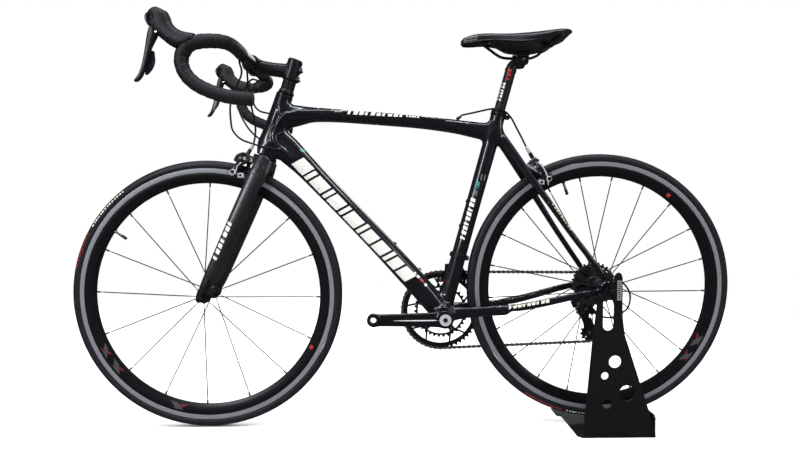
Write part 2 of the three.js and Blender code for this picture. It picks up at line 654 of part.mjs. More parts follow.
// The chain's course, seen from the left side: over the cog, down between the two pulleys,
// and forward under the chainring.
function chainCourse(offset) {
  const outer = 1 / Math.cos(Math.PI / 36);
  return beltLine([
    [...BB, (pitchRadius(OUTER_TEETH) + 7) * outer + offset, 1],
    [...LOWER_PULLEY, PULLEY_R + 5.2 + offset, 1],
    [...UPPER_PULLEY, PULLEY_R + 5.2 - offset, -1],
    [...REAR_AXLE, 36.5 + offset, 1],
  ], Math.PI / 18);
}

function crankArm(side) {
  const [x, z] = BB;
  const reach = side < 0 ? -CRANK_LENGTH : CRANK_LENGTH;
  const arm = spine(mirrored([
    [x, 63.5, z, 37, 12], [x + reach * 0.25, 64.5, z, 33.5, 12.5],
    [x + reach * 0.9, 67, z, 29.5, 12.5], [x + reach, 67, z, 28, 12],
  ], side), { power: 3 });
  const flat = (low, high) => [side * low, side * high].sort((a, b) => a - b);
  const eye = disc(15.5, ...flat(60.6, 73), 16, [x + reach, z]);
  const boss = disc(20, ...flat(56, 71), 16, BB);
  const hole = disc(7.1, ...flat(50, 80), 12, [x + reach, z]);
  return cut(join(arm, eye, boss), hole);
}

function spiderAndSpindle() {
  const [x, z] = BB;
  const pieces = [disc(12, -55.6, 60, 14, BB), disc(24, 42, 58, 14, BB)];
  for (let i = 0; i < 5; i += 1) {
    const angle = (2 * Math.PI * i) / 5 + THREE.MathUtils.degToRad(13);
    const across = 8;
    const leg = box(16, 66, 41.9, 44.7, -across, across);
    leg.rotateY(-angle);
    leg.translate(x, 0, z);
    pieces.push(leg);
  }
  return pieces;
}

function addDrivetrain() {
  add('outer_chainring', toothed(OUTER_TEETH, BB, 45, 48, 58), DARK_ALLOY);
  add('inner_chainring', toothed(INNER_TEETH, BB, 39.2, 41.6, 50), DARK_ALLOY);
  add('left_crank_arm', crankArm(-1), GLOSS_CRANK);
  add('right_crank_arm', join(crankArm(1), ...spiderAndSpindle()), GLOSS_CRANK);

  const cogs = [
    [8, 24], [53.2, 24], [53.2, 28.9], [46.8, 28.9], [46.8, 36.9], [39.4, 36.9], [39.4, 44.4],
    [31, 44.4], [31, 51.4], [27, 51.4], [27, 61.5], [8, 61.5],
  ];
  add('cassette', turned(cogs, 18, [REAR_AXLE[0], 0, REAR_AXLE[1]]), STEEL);

  for (const [name, centre] of [['upper', UPPER_PULLEY], ['lower', LOWER_PULLEY]]) {
    const wheel = turned([[3.3, 45.6], [PULLEY_R, 46.6], [PULLEY_R, 49.4], [3.3, 50.4]], 16, [centre[0], 0, centre[1]]);
    add(`${name}_jockey_wheel`, wheel, MATTE_BLACK);
  }
  add('chain', plate(chainCourse(3.6), CHAIN_Y - CHAIN_HALF, CHAIN_Y + CHAIN_HALF, [chainCourse(-3.6)]), STEEL);
  add('rear_derailleur', rearDerailleur(), DARK_ALLOY);
  add('front_derailleur', frontDerailleur(), DARK_ALLOY);
}

// The cage plates stand on both sides of the jockey wheels, joined by their two axles and the body.
function rearDerailleur() {
  const [ux, uz] = UPPER_PULLEY;
  const [lx, lz] = LOWER_PULLEY;
  const cagePlate = (y0, y1) => plate([
    [ux - 11, uz - 4], [ux - 4, uz + 11], [ux + 10, uz + 7], [lx + 12, lz + 2], [lx + 3, lz - 12], [lx - 11, lz - 6],
  ], y0, y1);
  const bolts = [UPPER_PULLEY, LOWER_PULLEY].map((c) => disc(3, 42, 55, 8, c));
  const knuckle = spine([
    [ux - 2, 60, uz + 2, 30, 12], [ux + 4, 68, uz + 16, 28, 14], [ux + 16, 76, uz + 30, 22, 12], [ux + 27, 79, uz + 37, 20, 10],
  ]);
  const pivot = disc(7, 70.4, 86, 10, [REAR_AXLE[0] + 13, REAR_AXLE[1] - 27]);
  return join(cagePlate(43, 44.4), cagePlate(53.3, 55), ...bolts, disc(13, 53.6, 66, 12, UPPER_PULLEY), knuckle, pivot);
}

function frontDerailleur() {
  const [band, low, high] = [172, 164, 181].map((t) => bbPoint.clone().addScaledVector(seatUp, t).toArray());
  const clampRing = cut(straight(low, high, 23.5, 14), seatTube(GAP));
  const arm = spine([
    [band[0] + 4, 21, band[2] - 4, 18, 14], [band[0] + 2, 36, band[2] - 22, 18, 12], [132, 46, 405, 18, 10],
  ]);
  const cage = [[88, 389], [112, 385], [140, 371], [158, 358], [167, 366], [152, 399], [120, 404.5], [90, 402]];
  const roof = [[91, 398], [120, 400], [147, 397.5], [152, 399], [120, 404.5], [90, 402]];
  const innerPlate = plate(cage, 42, 43.4);
  const outerPlate = plate(cage, 53, 54.4);
  const bridge = plate(roof, 42.6, 54);
  return join(clampRing, cut(arm, seatTube(GAP)), innerPlate, outerPlate, bridge);
}
addDrivetrain();

// ---- Cables held at both ends ----
const CABLE_R = 2.3;
function addCables() {
  const crossing = {
    left_shift_cable: [
      [-392, -28, 878], [-408, -30, 840], [-421, -30, 802], [-421, -29, 760], [-417, -28, 738],
      [-399, -27.5, 718], [-375, -27, 708], [-345, -27, 699], [-312, -26, 693],
    ],
    right_shift_cable: [
      [-392, 28, 878], [-412, 29, 840], [-420, 29, 806], [-402, 29, 762], [-383, 29, 738],
      [-360, 28.5, 721], [-335, 27, 710], [-312, 26, 702],
    ],
    rear_brake_cable_front: [
      [-386, 46, 880], [-388, 46, 850], [-384, 42, 815], [-370, 35, 798], [-345, 29, 790], [-312, 24, 786],
    ],
    front_brake_cable: [
      [-372, -50, 880], [-375, -44, 850], [-377, -28, 800], [-378, -10, 750], [-379, -2, 712], [-386, -2, 702],
    ],
  };
  for (const [name, route] of Object.entries(crossing)) {
    add(name, rod(route, CABLE_R, { steps: 16 }), RUBBER);
  }
  add('rear_brake_cable_rear', rod([
    [136, -8, 776], [160, -16, 782], [186, -22, 788], [207, -25.5, 792], [225, -26, 793], [244, -23, 788],
    [262, -17.5, 773], [279, -10, 748], [294, -7, 722], [304, -7, 703], [311, -7, 690],
  ], CABLE_R, { steps: 20 }), RUBBER);
  add('rear_derailleur_cable', rod([
    [462, 73, 366], [496, 80, 372], [556, 84, 366], [588, 84, 343], [605, 83, 308], [601, 82, 276],
    [585, 82, 260], [561, 82, 252], [536, 80, 254], [518, 79, 266],
  ], CABLE_R, { steps: 22 }), RUBBER);
}
addCables();

// ---- Stand ----
function addStand() {
  const base = plate([[415, 0], [605, 0], [605, 50], [601, 50], [601, STAND_PLATE], [415, STAND_PLATE]], STAND_IN_Y + 4, 90);
  const foot = box(425, 601, STAND_OUT_Y, STAND_IN_Y + 5, 0, STAND_PLATE);
  const tab = box(403, 416, 35, 90, 0, STAND_PLATE);
  const tyreNotch = box(598, 610, -17, 17, 26, 60);
  add('stand_base', cut(join(base, foot, tab), tyreNotch), STAND_COAT);

  const top = 398;
  const [slotLeft, slotRight] = [469, 495];
  const slotFoot = 259;
  const slotArc = Array.from({ length: 7 }, (_, i) => {
    const angle = Math.PI + (Math.PI * i) / 6;
    return [482 + 13 * Math.cos(angle), slotFoot + 13 + 13 * Math.sin(angle)];
  });
  const outline = [
    [425.5, STAND_PLATE + GAP], [445, 238], [455, 325], [457, 343], [462, 348], [slotLeft, 344], ...slotArc,
    [slotRight, 386], [499, 394], [505, top], [511, 395], [514.5, 386], [515, 324], [522, 249], [583, 67],
    [600.5, STAND_PLATE + GAP],
  ];
  const windows = [];
  for (const [x, z, r] of [[500, 184, 15], [476, 150, 9], [530, 108, 19], [482, 82, 11]]) {
    windows.push(circle([x, z], r, 14));
  }
  for (const screw of HOOK_SCREWS) windows.push(circle(screw, 3.2, 10));
  add('stand_upright', plate(outline, STAND_OUT_Y, STAND_IN_Y, windows), STAND_COAT);

  const [x, z] = REAR_AXLE;
  const cup = Array.from({ length: 7 }, (_, i) => {
    const angle = Math.PI + (Math.PI * i) / 6;
    return [x + 4.4 * Math.cos(angle), z + 4.4 * Math.sin(angle)];
  });
  const hook = [
    [456.5, 326], [470, 326], [476, 331], [494, 331], [499, 316], [512, 316], [513, 350], [503, 362],
    [x + 8, 366], [x + 4.4, 362], ...cup.reverse(), [x - 4.4, 362], [x - 9, 364], [x - 14, 356],
    [470, 342], [457, 342],
  ];
  // Two screws run through the arms of the upright and hold the hook behind it.
  const screws = HOOK_SCREWS.map(([sx, sz]) => turned([
    [0, STAND_OUT_Y - 2], [4, STAND_OUT_Y - 2], [5.5, STAND_OUT_Y - GAP], [2.7, STAND_OUT_Y - GAP],
    [2.7, STAND_IN_Y + 3], [0, STAND_IN_Y + 3],
  ], 10, [sx, 0, sz]));
  add('axle_hook', join(plate(hook, STAND_IN_Y + GAP, STAND_IN_Y + GAP + 5), ...screws), STAND_COAT);
}
addStand();

export default bicycle;
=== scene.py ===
"""The looks of a road bicycle in a one-sided rear axle stand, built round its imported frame.

Shapes are worked out in millimetres and scaled to metres when a piece is made. +Z is up, the
front of the bicycle is towards -X and its left side, where the stand is, towards -Y.
"""

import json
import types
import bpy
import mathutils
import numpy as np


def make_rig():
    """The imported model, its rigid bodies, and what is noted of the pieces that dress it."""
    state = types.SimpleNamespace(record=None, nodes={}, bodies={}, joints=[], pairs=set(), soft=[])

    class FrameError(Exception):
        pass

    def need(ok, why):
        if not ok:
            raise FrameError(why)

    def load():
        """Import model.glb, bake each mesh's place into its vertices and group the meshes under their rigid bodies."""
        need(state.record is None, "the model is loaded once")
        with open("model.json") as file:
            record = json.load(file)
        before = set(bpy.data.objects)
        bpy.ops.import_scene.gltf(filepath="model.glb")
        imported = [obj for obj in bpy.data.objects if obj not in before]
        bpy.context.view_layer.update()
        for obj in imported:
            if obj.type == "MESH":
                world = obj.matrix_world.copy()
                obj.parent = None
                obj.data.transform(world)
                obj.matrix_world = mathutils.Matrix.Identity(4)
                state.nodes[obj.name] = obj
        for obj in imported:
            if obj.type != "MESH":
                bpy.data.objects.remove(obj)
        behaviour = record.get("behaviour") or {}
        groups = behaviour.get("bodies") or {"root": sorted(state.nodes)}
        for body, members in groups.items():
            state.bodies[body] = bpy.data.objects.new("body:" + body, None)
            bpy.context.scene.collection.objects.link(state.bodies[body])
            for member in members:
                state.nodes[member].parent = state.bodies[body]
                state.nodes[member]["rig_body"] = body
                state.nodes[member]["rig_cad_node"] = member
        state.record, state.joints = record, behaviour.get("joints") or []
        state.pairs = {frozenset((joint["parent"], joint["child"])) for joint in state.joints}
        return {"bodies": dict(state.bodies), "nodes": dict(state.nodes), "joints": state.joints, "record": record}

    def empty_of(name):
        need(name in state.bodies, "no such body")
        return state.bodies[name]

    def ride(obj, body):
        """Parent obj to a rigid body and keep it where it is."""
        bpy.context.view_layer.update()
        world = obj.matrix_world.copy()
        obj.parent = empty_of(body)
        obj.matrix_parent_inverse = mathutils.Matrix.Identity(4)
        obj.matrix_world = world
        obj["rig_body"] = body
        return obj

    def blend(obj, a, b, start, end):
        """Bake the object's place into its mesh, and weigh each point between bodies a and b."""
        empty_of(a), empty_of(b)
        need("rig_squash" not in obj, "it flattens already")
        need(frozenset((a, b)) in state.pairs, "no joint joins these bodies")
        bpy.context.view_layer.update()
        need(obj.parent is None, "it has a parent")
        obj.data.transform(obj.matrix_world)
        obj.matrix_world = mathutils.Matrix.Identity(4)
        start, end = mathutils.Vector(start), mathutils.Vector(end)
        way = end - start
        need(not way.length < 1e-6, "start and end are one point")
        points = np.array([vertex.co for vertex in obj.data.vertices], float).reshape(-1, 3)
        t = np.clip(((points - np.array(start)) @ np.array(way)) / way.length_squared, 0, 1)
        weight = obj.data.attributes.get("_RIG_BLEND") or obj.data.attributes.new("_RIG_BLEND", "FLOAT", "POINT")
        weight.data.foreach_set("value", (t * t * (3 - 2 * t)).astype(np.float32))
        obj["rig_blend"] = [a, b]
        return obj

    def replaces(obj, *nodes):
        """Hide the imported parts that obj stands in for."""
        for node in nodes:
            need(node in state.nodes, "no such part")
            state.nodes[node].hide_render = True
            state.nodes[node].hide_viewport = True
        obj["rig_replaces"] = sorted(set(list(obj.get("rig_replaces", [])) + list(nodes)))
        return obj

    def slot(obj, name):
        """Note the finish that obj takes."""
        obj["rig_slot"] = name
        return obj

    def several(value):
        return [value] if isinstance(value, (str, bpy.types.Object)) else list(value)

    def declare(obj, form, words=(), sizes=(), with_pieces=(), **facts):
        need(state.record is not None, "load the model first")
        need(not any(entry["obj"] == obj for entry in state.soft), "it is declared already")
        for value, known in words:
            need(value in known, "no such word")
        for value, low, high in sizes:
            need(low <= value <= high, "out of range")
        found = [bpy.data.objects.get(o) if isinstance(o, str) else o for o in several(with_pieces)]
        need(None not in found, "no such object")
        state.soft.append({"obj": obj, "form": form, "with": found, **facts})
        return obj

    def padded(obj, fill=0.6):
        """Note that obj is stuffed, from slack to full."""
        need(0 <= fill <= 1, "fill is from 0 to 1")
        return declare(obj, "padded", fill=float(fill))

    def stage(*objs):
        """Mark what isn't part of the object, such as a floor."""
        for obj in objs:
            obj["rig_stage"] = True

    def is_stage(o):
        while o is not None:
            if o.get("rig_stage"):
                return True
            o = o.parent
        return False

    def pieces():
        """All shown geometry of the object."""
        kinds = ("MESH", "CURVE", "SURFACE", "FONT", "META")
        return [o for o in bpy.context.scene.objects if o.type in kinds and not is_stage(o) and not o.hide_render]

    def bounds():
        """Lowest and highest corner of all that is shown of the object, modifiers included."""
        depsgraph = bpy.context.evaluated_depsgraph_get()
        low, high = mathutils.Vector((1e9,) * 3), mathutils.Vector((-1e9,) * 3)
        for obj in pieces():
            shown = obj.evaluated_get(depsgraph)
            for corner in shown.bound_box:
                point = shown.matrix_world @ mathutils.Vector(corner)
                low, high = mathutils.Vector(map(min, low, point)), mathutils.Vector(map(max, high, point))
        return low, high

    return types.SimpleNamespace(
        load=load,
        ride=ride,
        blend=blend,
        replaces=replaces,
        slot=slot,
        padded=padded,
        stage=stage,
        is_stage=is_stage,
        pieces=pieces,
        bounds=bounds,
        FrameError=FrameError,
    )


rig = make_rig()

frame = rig.load()

import json
import math

import bmesh
import bpy
import numpy as np
import openvdb
from mathutils import Matrix, Vector
from mathutils.bvhtree import BVHTree

CAD_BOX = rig.bounds()
MM = 0.001
SIDES = (("left", -1), ("right", 1))
SMOOTH_ANGLE = math.radians(22)
ROUND_ANGLE = math.radians(40)

# ---- Driving dimensions, in millimetres ----
FRONT_AXLE = (-490.5, 334.0)
REAR_AXLE = (490.5, 352.0)
BB = (96.0, 282.0)
CRANK = 172.5
HEAD_TILT = math.radians(16.8)
SEAT_TILT = math.radians(15.4)
HEAD_TOP = np.array((-294.0, 0.0, 831.5))
HEAD_LENGTH = 161.0
BAR_CENTRE = (-374.0, 901.0)
BAR_HALF = 205.0
UPPER_PULLEY = (480.0, 284.0)
LOWER_PULLEY = (490.0, 219.0)
PITCH = 12.7
OUTER_TEETH = 50
INNER_TEETH = 34
PULLEY_TEETH = 11
RUNNING_COG = 14
CHAIN_Y = 47.4
DOWN = np.array((-math.sin(HEAD_TILT), 0.0, -math.cos(HEAD_TILT)))
SEAT_UP = np.array((math.sin(SEAT_TILT), 0.0, math.cos(SEAT_TILT)))
BB_POINT = np.array((BB[0], 0.0, BB[1]))


# ---- Working with shapes: a part is (points in mm, faces) ----
class Shape:
    """Parts gathered into one mesh, each with the number of its material."""

    def __init__(self):
        self.points = []
        self.faces = []
        self.paint = []

    def __iter__(self):
        return iter((self.points, self.faces))

    def add(self, part, paint=0):
        points, faces = part
        start = len(self.points)
        self.points.extend(map(tuple, points))
        self.faces.extend(tuple(i + start for i in face) for face in faces)
        self.paint.extend(paint if isinstance(paint, list) else [paint] * len(faces))
        return self


def placed(part, matrix):
    """The part moved by a 4 x 4 matrix."""
    points, faces = part
    m = np.array(matrix)
    return np.asarray(points) @ m[:3, :3].T + m[:3, 3], faces


def basis(x_to, y_to, z_to, origin=(0, 0, 0)):
    """A matrix that sends the three axes to these directions, and the origin to a point."""
    return Matrix(np.column_stack([x_to, y_to, z_to, origin]).tolist() + [[0, 0, 0, 1]])


def aimed(direction, origin):
    """A matrix that sends the Y axis along a direction."""
    turn = Vector((0, 1, 0)).rotation_difference(Vector(direction)).to_matrix().to_4x4()
    return Matrix.Translation(Vector(origin)) @ turn


def mirrored(stations, side):
    return [(x, side * y, z, *rest) for x, y, z, *rest in stations]


def smooth_line(stations, per_span=8, cyclic=False):
    """Points on a smooth curve through the stations, whatever else each station carries."""
    p = np.array(stations, float)
    if cyclic:
        p = np.vstack([p[-1], p, p[0], p[1]])
    else:
        p = np.vstack([2 * p[0] - p[1], p, 2 * p[-1] - p[-2]])
    out = []
    for a, b, c, d in zip(p, p[1:], p[2:], p[3:]):
        spans = [max(np.linalg.norm((q - o)[:3]), 1e-6) ** 0.5 for o, q in ((a, b), (b, c), (c, d))]
        into = ((b - a) / spans[0] - (c - a) / (spans[0] + spans[1]) + (c - b) / spans[1]) * spans[1]
        away = ((c - b) / spans[1] - (d - b) / (spans[1] + spans[2]) + (d - c) / spans[2]) * spans[1]
        for t in np.arange(per_span) / per_span:
            h = (2 * t**3 - 3 * t**2 + 1, t**3 - 2 * t**2 + t, 3 * t**2 - 2 * t**3, t**3 - t**2)
            out.append(h[0] * b + h[1] * into + h[2] * c + h[3] * away)
    if not cyclic:
        out.append(p[-2])
    return np.array(out)


def loft(rings, closed=False):
    """A skin over rings of points, with a fan over each end unless the rings close on themselves."""
    rings = [np.asarray(r, float) for r in rings]
    sides = len(rings[0])
    points = np.vstack(rings)
    faces = []
    count = len(rings)
    for r in range(count if closed else count - 1):
        low, high = r * sides, ((r + 1) % count) * sides
        for i in range(sides):
            j = (i + 1) % sides
            faces.append((low + i, low + j, high + j, high + i))
    if not closed:
        points = np.vstack([points, rings[0].mean(0), rings[-1].mean(0)])
        first, last = len(points) - 2, len(points) - 1
        top = (count - 1) * sides
        for i in range(sides):
            j = (i + 1) % sides
            faces.append((first, j, i))
            faces.append((last, top + i, top + j))
    return points, faces


def lathe(profile, steps=48, centre=(0, 0, 0)):
    """Turns a profile of (radius, y) points about the Y axis. Off the axis it closes on itself."""
    on_axis = profile[0][0] == 0
    turns = 2 * np.pi * np.arange(steps) / steps
    rings = []
    for r, y in profile:
        ring = np.column_stack([r * np.cos(turns), np.full(steps, y), r * np.sin(turns)])
        rings.append(ring + centre)
    return loft(rings, closed=not on_axis)


def frames_along(line):
    """Unit directions along a line, with a side and an up that turn as little as they can."""
    ahead = np.gradient(line, axis=0)
    ahead /= np.linalg.norm(ahead, axis=1)[:, None]
    side = np.cross(ahead[0], (0.0, 0.0, 1.0))
    if np.linalg.norm(side) < 0.1:
        side = np.cross(ahead[0], (0.0, 1.0, 0.0))
    sides = []
    for direction in ahead:
        side = side - direction * (side @ direction)
        side = side / np.linalg.norm(side)
        sides.append(side)
    sides = np.array(sides)
    return ahead, sides, np.cross(ahead, sides)


def sweep(line, radii, sides=16):
    """A round bar along a line. Radii is one number, or one row of radii for each point."""
    line = np.asarray(line, float)[:, :3]
    _, side, up = frames_along(line)
    turns = 2 * np.pi * np.arange(sides) / sides
    radii = np.broadcast_to(np.asarray(radii, float).reshape(-1, 1) if np.ndim(radii) < 2 else radii,
                            (len(line), sides))
    rings = []
    for centre, s, u, r in zip(line, side, up, radii):
        rings.append(centre + np.outer(r * np.cos(turns), s) + np.outer(r * np.sin(turns), u))
    return loft(rings)


def cable(points, radius=2.3, sides=12, per_span=6):
    return sweep(smooth_line(points, per_span), radius, sides)


def rod(start, end, radius, sides=20, bevel=0.3):
    """A straight round bar with softened ends."""
    start, end = np.array(start, float), np.array(end, float)
    length = np.linalg.norm(end - start)
    inner, far = radius - bevel, length - bevel
    profile = [(0, 0), (inner, 0), (radius, bevel), (radius, far), (inner, length), (0, length)]
    return placed(lathe(profile, sides), aimed(end - start, start))


def spine(stations, sides=24, power=2.0, per_span=5):
    """A tube through stations (x, y, z, depth, width). Depth lies in the bicycle's plane."""
    line = smooth_line(stations, per_span)
    ahead = np.gradient(line[:, :3], axis=0)
    ahead /= np.linalg.norm(ahead, axis=1)[:, None]
    turns = 2 * np.pi * (np.arange(sides) + 0.5) / sides
    c, s = np.cos(turns), np.sin(turns)
    across = np.sign(c) * np.abs(c) ** (2 / power)
    along = np.sign(s) * np.abs(s) ** (2 / power)
    rings = []
    for (x, y, z, deep, wide), direction in zip(line, ahead):
        side = np.array((0, 1, 0)) - direction * direction[1]
        side /= np.linalg.norm(side)
        up = np.cross(side, direction)
        rings.append((x, y, z) + np.outer(across * wide / 2, side) + np.outer(along * deep / 2, up))
    return loft(rings)


def slab(outline, y0, y1, holes=(), bevel=0.4):
    """A flat plate in the bicycle's plane from (x, z) outlines, with softened edges."""
    curve = bpy.data.curves.new("slab", "CURVE")
    curve.dimensions = "2D"
    curve.fill_mode = "BOTH"
    for loop in (outline, *holes):
        spline = curve.splines.new("POLY")
        spline.points.add(len(loop) - 1)
        for point, (x, z) in zip(spline.points, loop):
            point.co = (x, z, 0, 1)
        spline.use_cyclic_u = True
    curve.extrude = (y1 - y0) / 2 - bevel
    curve.bevel_depth = bevel
    curve.bevel_resolution = 1
    curve.offset = -bevel
    holder = bpy.data.objects.new("slab", curve)
    bpy.context.scene.collection.objects.link(holder)
    bpy.context.view_layer.update()
    mesh = bpy.data.meshes.new_from_object(holder.evaluated_get(bpy.context.evaluated_depsgraph_get()))
    points = [(v.co.x, (y0 + y1) / 2 + v.co.z, v.co.y) for v in mesh.vertices]
    faces = [tuple(f.vertices) for f in mesh.polygons]
    bpy.data.objects.remove(holder)
    bpy.data.curves.remove(curve)
    bpy.data.meshes.remove(mesh)
    return np.array(points), faces


def side_slab(outline, side, near, far, holes=(), bevel=0.4):
    """A plate on one side of the bicycle, between two distances from its middle plane."""
    return slab(outline, *sorted((side * near, side * far)), holes, bevel)


def circle(centre, radius, steps=24, start=0.0, sweep_by=2 * math.pi):
    closed = abs(sweep_by) >= 2 * math.pi
    count = steps if closed else steps - 1
    turns = [start + sweep_by * i / count for i in range(steps)]
    return [(centre[0] + radius * math.cos(a), centre[1] + radius * math.sin(a)) for a in turns]


def rounded(outline, per_span=5):
    """A smooth closed outline through the points."""
    return [tuple(p[:2]) for p in smooth_line([(x, z, 0) for x, z in outline], per_span, cyclic=True)]


def box(lo, hi, bevel=0.4):
    """A block between two corners with softened edges."""
    outline = [(lo[0], lo[2]), (hi[0], lo[2]), (hi[0], hi[2]), (lo[0], hi[2])]
    return slab(outline, lo[1], hi[1], bevel=bevel)


# ---- Organic shapes: distance fields joined with fillets, then skinned ----
def window(axes, low, high):
    """The block of a grid that lies between two corners."""
    block = []
    for axis, l, h in zip(axes, low, high):
        first = max(int(np.searchsorted(axis, l)) - 1, 0)
        block.append(slice(first, max(min(int(np.searchsorted(axis, h)) + 1, len(axis)), first)))
    return tuple(block)


def grid_points(axes, block):
    return np.stack(np.meshgrid(*[a[w] for a, w in zip(axes, block)], indexing="ij"), -1)


def tube_field(axes, stations, power, reach):
    """Distance on a grid to a tube with superelliptic sections."""
    line = smooth_line(stations, 5).astype(np.float32)
    found = np.full([len(a) for a in axes], 1e3, np.float32)
    best = np.full(found.shape, np.inf, np.float32)
    for a, b in zip(line, line[1:]):
        room = max(*a[3:], *b[3:]) / 2 + reach
        block = window(axes, np.minimum(a, b)[:3] - room, np.maximum(a, b)[:3] + room)
        if best[block].size == 0:
            continue
        p = grid_points(axes, block)
        ahead = (b - a)[:3]
        length = np.linalg.norm(ahead)
        direction = ahead / length
        t = np.clip((p - a[:3]) @ ahead / length**2, 0, 1)
        off = p - a[:3] - t[..., None] * ahead
        far = (off**2).sum(-1)
        near = far < best[block]
        off, t = off[near], t[near][:, None]
        side = np.array((0, 1, 0)) - direction * direction[1]
        side /= np.linalg.norm(side)
        size = (a[3:] + t * (b - a)[3:]) / 2
        u, v = np.abs(off @ side) + 1e-3, np.abs(off @ np.cross(side, direction)) + 1e-3
        half_deep, half_wide = size.T
        value = ((u / half_wide) ** power + (v / half_deep) ** power) ** (1 / power)
        pull = np.hypot(u ** (power - 1) / half_wide**power, v ** (power - 1) / half_deep**power)
        past = np.abs(off @ direction)
        past = np.where(past > 1e-3, past, -1e3)
        best[block][near] = far[near]
        found[block][near] = np.maximum((value - 1) / (value ** (1 - power) * pull), past)
    return found


def drum_field(axes, centre, radius, y0, y1):
    """Distance on a grid to a round drum along Y."""
    x, y, z = np.meshgrid(*axes, indexing="ij", sparse=True)
    out = np.hypot(x - centre[0], z - centre[1]) - radius
    return np.maximum(out, np.abs(y - (y0 + y1) / 2) - (y1 - y0) / 2)


def joined(a, b, fillet):
    """The nearer of two distances, with a fillet of about this size where they meet."""
    if fillet <= 0:
        return np.minimum(a, b)
    near = np.clip(fillet - np.abs(a - b), 0, None) / fillet
    return np.minimum(a, b) - near**2 * fillet / 4


RIB_FILLET = 3.5


def skin(lo, hi, cell, tubes=(), drums=(), cuts=(), cut_tubes=(), fillet=8.0, edge=1.0, ribs=()):
    """One closed skin round tubes (stations, power) and drums, less some drums and tubes."""
    axes = [np.arange(l, h + cell, cell, dtype=np.float32) for l, h in zip(lo, hi)]
    field = np.full([len(a) for a in axes], 1e3, np.float32)
    add = lambda old, new: joined(old, new, fillet)
    remove = lambda old, new: -joined(-old, new, edge)

    crest = lambda old, new: joined(old, new, RIB_FILLET)
    turns = ((tubes, drums, add, fillet), (ribs, (), crest, RIB_FILLET), (cut_tubes, cuts, remove, edge))
    for long_ones, round_ones, rule, soften in turns:
        reach = soften + 3 * cell
        for stations, power in long_ones:
            s = np.array(stations, float)
            room = s[:, 3:].max() / 2 + reach
            block = window(axes, s[:, :3].min(0) - room, s[:, :3].max(0) + room)
            if field[block].size:
                part = [a[w] for a, w in zip(axes, block)]
                field[block] = rule(field[block], tube_field(part, stations, power, reach))
        for (x, z), radius, y0, y1 in round_ones:
            room = radius + reach
            block = window(axes, (x - room, y0 - reach, z - room), (x + room, y1 + reach, z + room))
            if field[block].size:
                part = [a[w] for a, w in zip(axes, block)]
                field[block] = rule(field[block], drum_field(part, (x, z), radius, y0, y1))
    grid = openvdb.FloatGrid(1e3)
    grid.copyFromArray(field)
    points, quads = grid.convertToQuads(0.0)
    return points * cell + np.array([a[0] for a in axes]), [tuple(q[::-1]) for q in quads.tolist()]


# ---- Finishes ----
def finish(name, color, rough, metal=0.0, second=None, patch=35.0, spread=0.05, coat=0.0, coat_rough=0.04,
           sheen=0.0, specular=0.5, grain=()):
    """A material with its own colour variation, gloss variation and relief.

    Grain is a row of (kind, features per metre, depth in mm); patch is how fine the variation is.
    """
    made = bpy.data.materials.new(name)
    made.use_nodes = True
    nodes, links = made.node_tree.nodes, made.node_tree.links
    shader = nodes["Principled BSDF"]
    shader.inputs["Metallic"].default_value = metal
    shader.inputs["Coat Weight"].default_value = coat
    shader.inputs["Coat Roughness"].default_value = coat_rough
    shader.inputs["Sheen Weight"].default_value = sheen
    shader.inputs["Specular IOR Level"].default_value = specular
    where = nodes.new("ShaderNodeTexCoord").outputs["Object"]

    clouds = nodes.new("ShaderNodeTexNoise")
    clouds.inputs["Scale"].default_value = patch
    clouds.inputs["Detail"].default_value = 6.0
    links.new(where, clouds.inputs["Vector"])
    blend = nodes.new("ShaderNodeMix")
    blend.data_type = "RGBA"
    blend.inputs["A"].default_value = (*color, 1)
    blend.inputs["B"].default_value = (*(second or [c * 1.6 + 0.002 for c in color]), 1)
    links.new(clouds.outputs["Fac"], blend.inputs["Factor"])
    links.new(blend.outputs["Result"], shader.inputs["Base Color"])

    gloss = nodes.new("ShaderNodeMapRange")
    gloss.inputs["To Min"].default_value = max(rough - spread, 0.02)
    gloss.inputs["To Max"].default_value = rough + spread
    links.new(clouds.outputs["Fac"], gloss.inputs["Value"])
    links.new(gloss.outputs["Result"], shader.inputs["Roughness"])

    below = None
    for kind, scale, depth in grain:
        height = grain_height(nodes, links, where, kind, scale)
        bump = nodes.new("ShaderNodeBump")
        bump.inputs["Distance"].default_value = depth * MM
        bump.inputs["Strength"].default_value = 1.0
        links.new(height, bump.inputs["Height"])
        if below:
            links.new(below, bump.inputs["Normal"])
        below = bump.outputs["Normal"]
    if below:
        links.new(below, shader.inputs["Normal"])
    return made


def grain_height(nodes, links, where, kind, scale):
    """The height output of one kind of surface relief."""
    if kind == "noise":
        node = nodes.new("ShaderNodeTexNoise")
        node.inputs["Scale"].default_value = scale
        node.inputs["Detail"].default_value = 4.0
        output = "Fac"
    elif kind == "cells":
        node = nodes.new("ShaderNodeTexVoronoi")
        node.inputs["Scale"].default_value = scale
        output = "Distance"
    elif kind == "rings":
        node = nodes.new("ShaderNodeTexWave")
        node.wave_type = "RINGS"
        node.rings_direction = "Y"
        node.inputs["Scale"].default_value = scale / 20
        node.inputs["Distortion"].default_value = 0.4
        output = "Fac"
    else:
        node = nodes.new("ShaderNodeTexWave")
        node.bands_direction = kind
        node.inputs["Scale"].default_value = scale / 20
        node.inputs["Distortion"].default_value = 1.0
        output = "Fac"
    links.new(where, node.inputs["Vector"])
    return node.outputs[output]


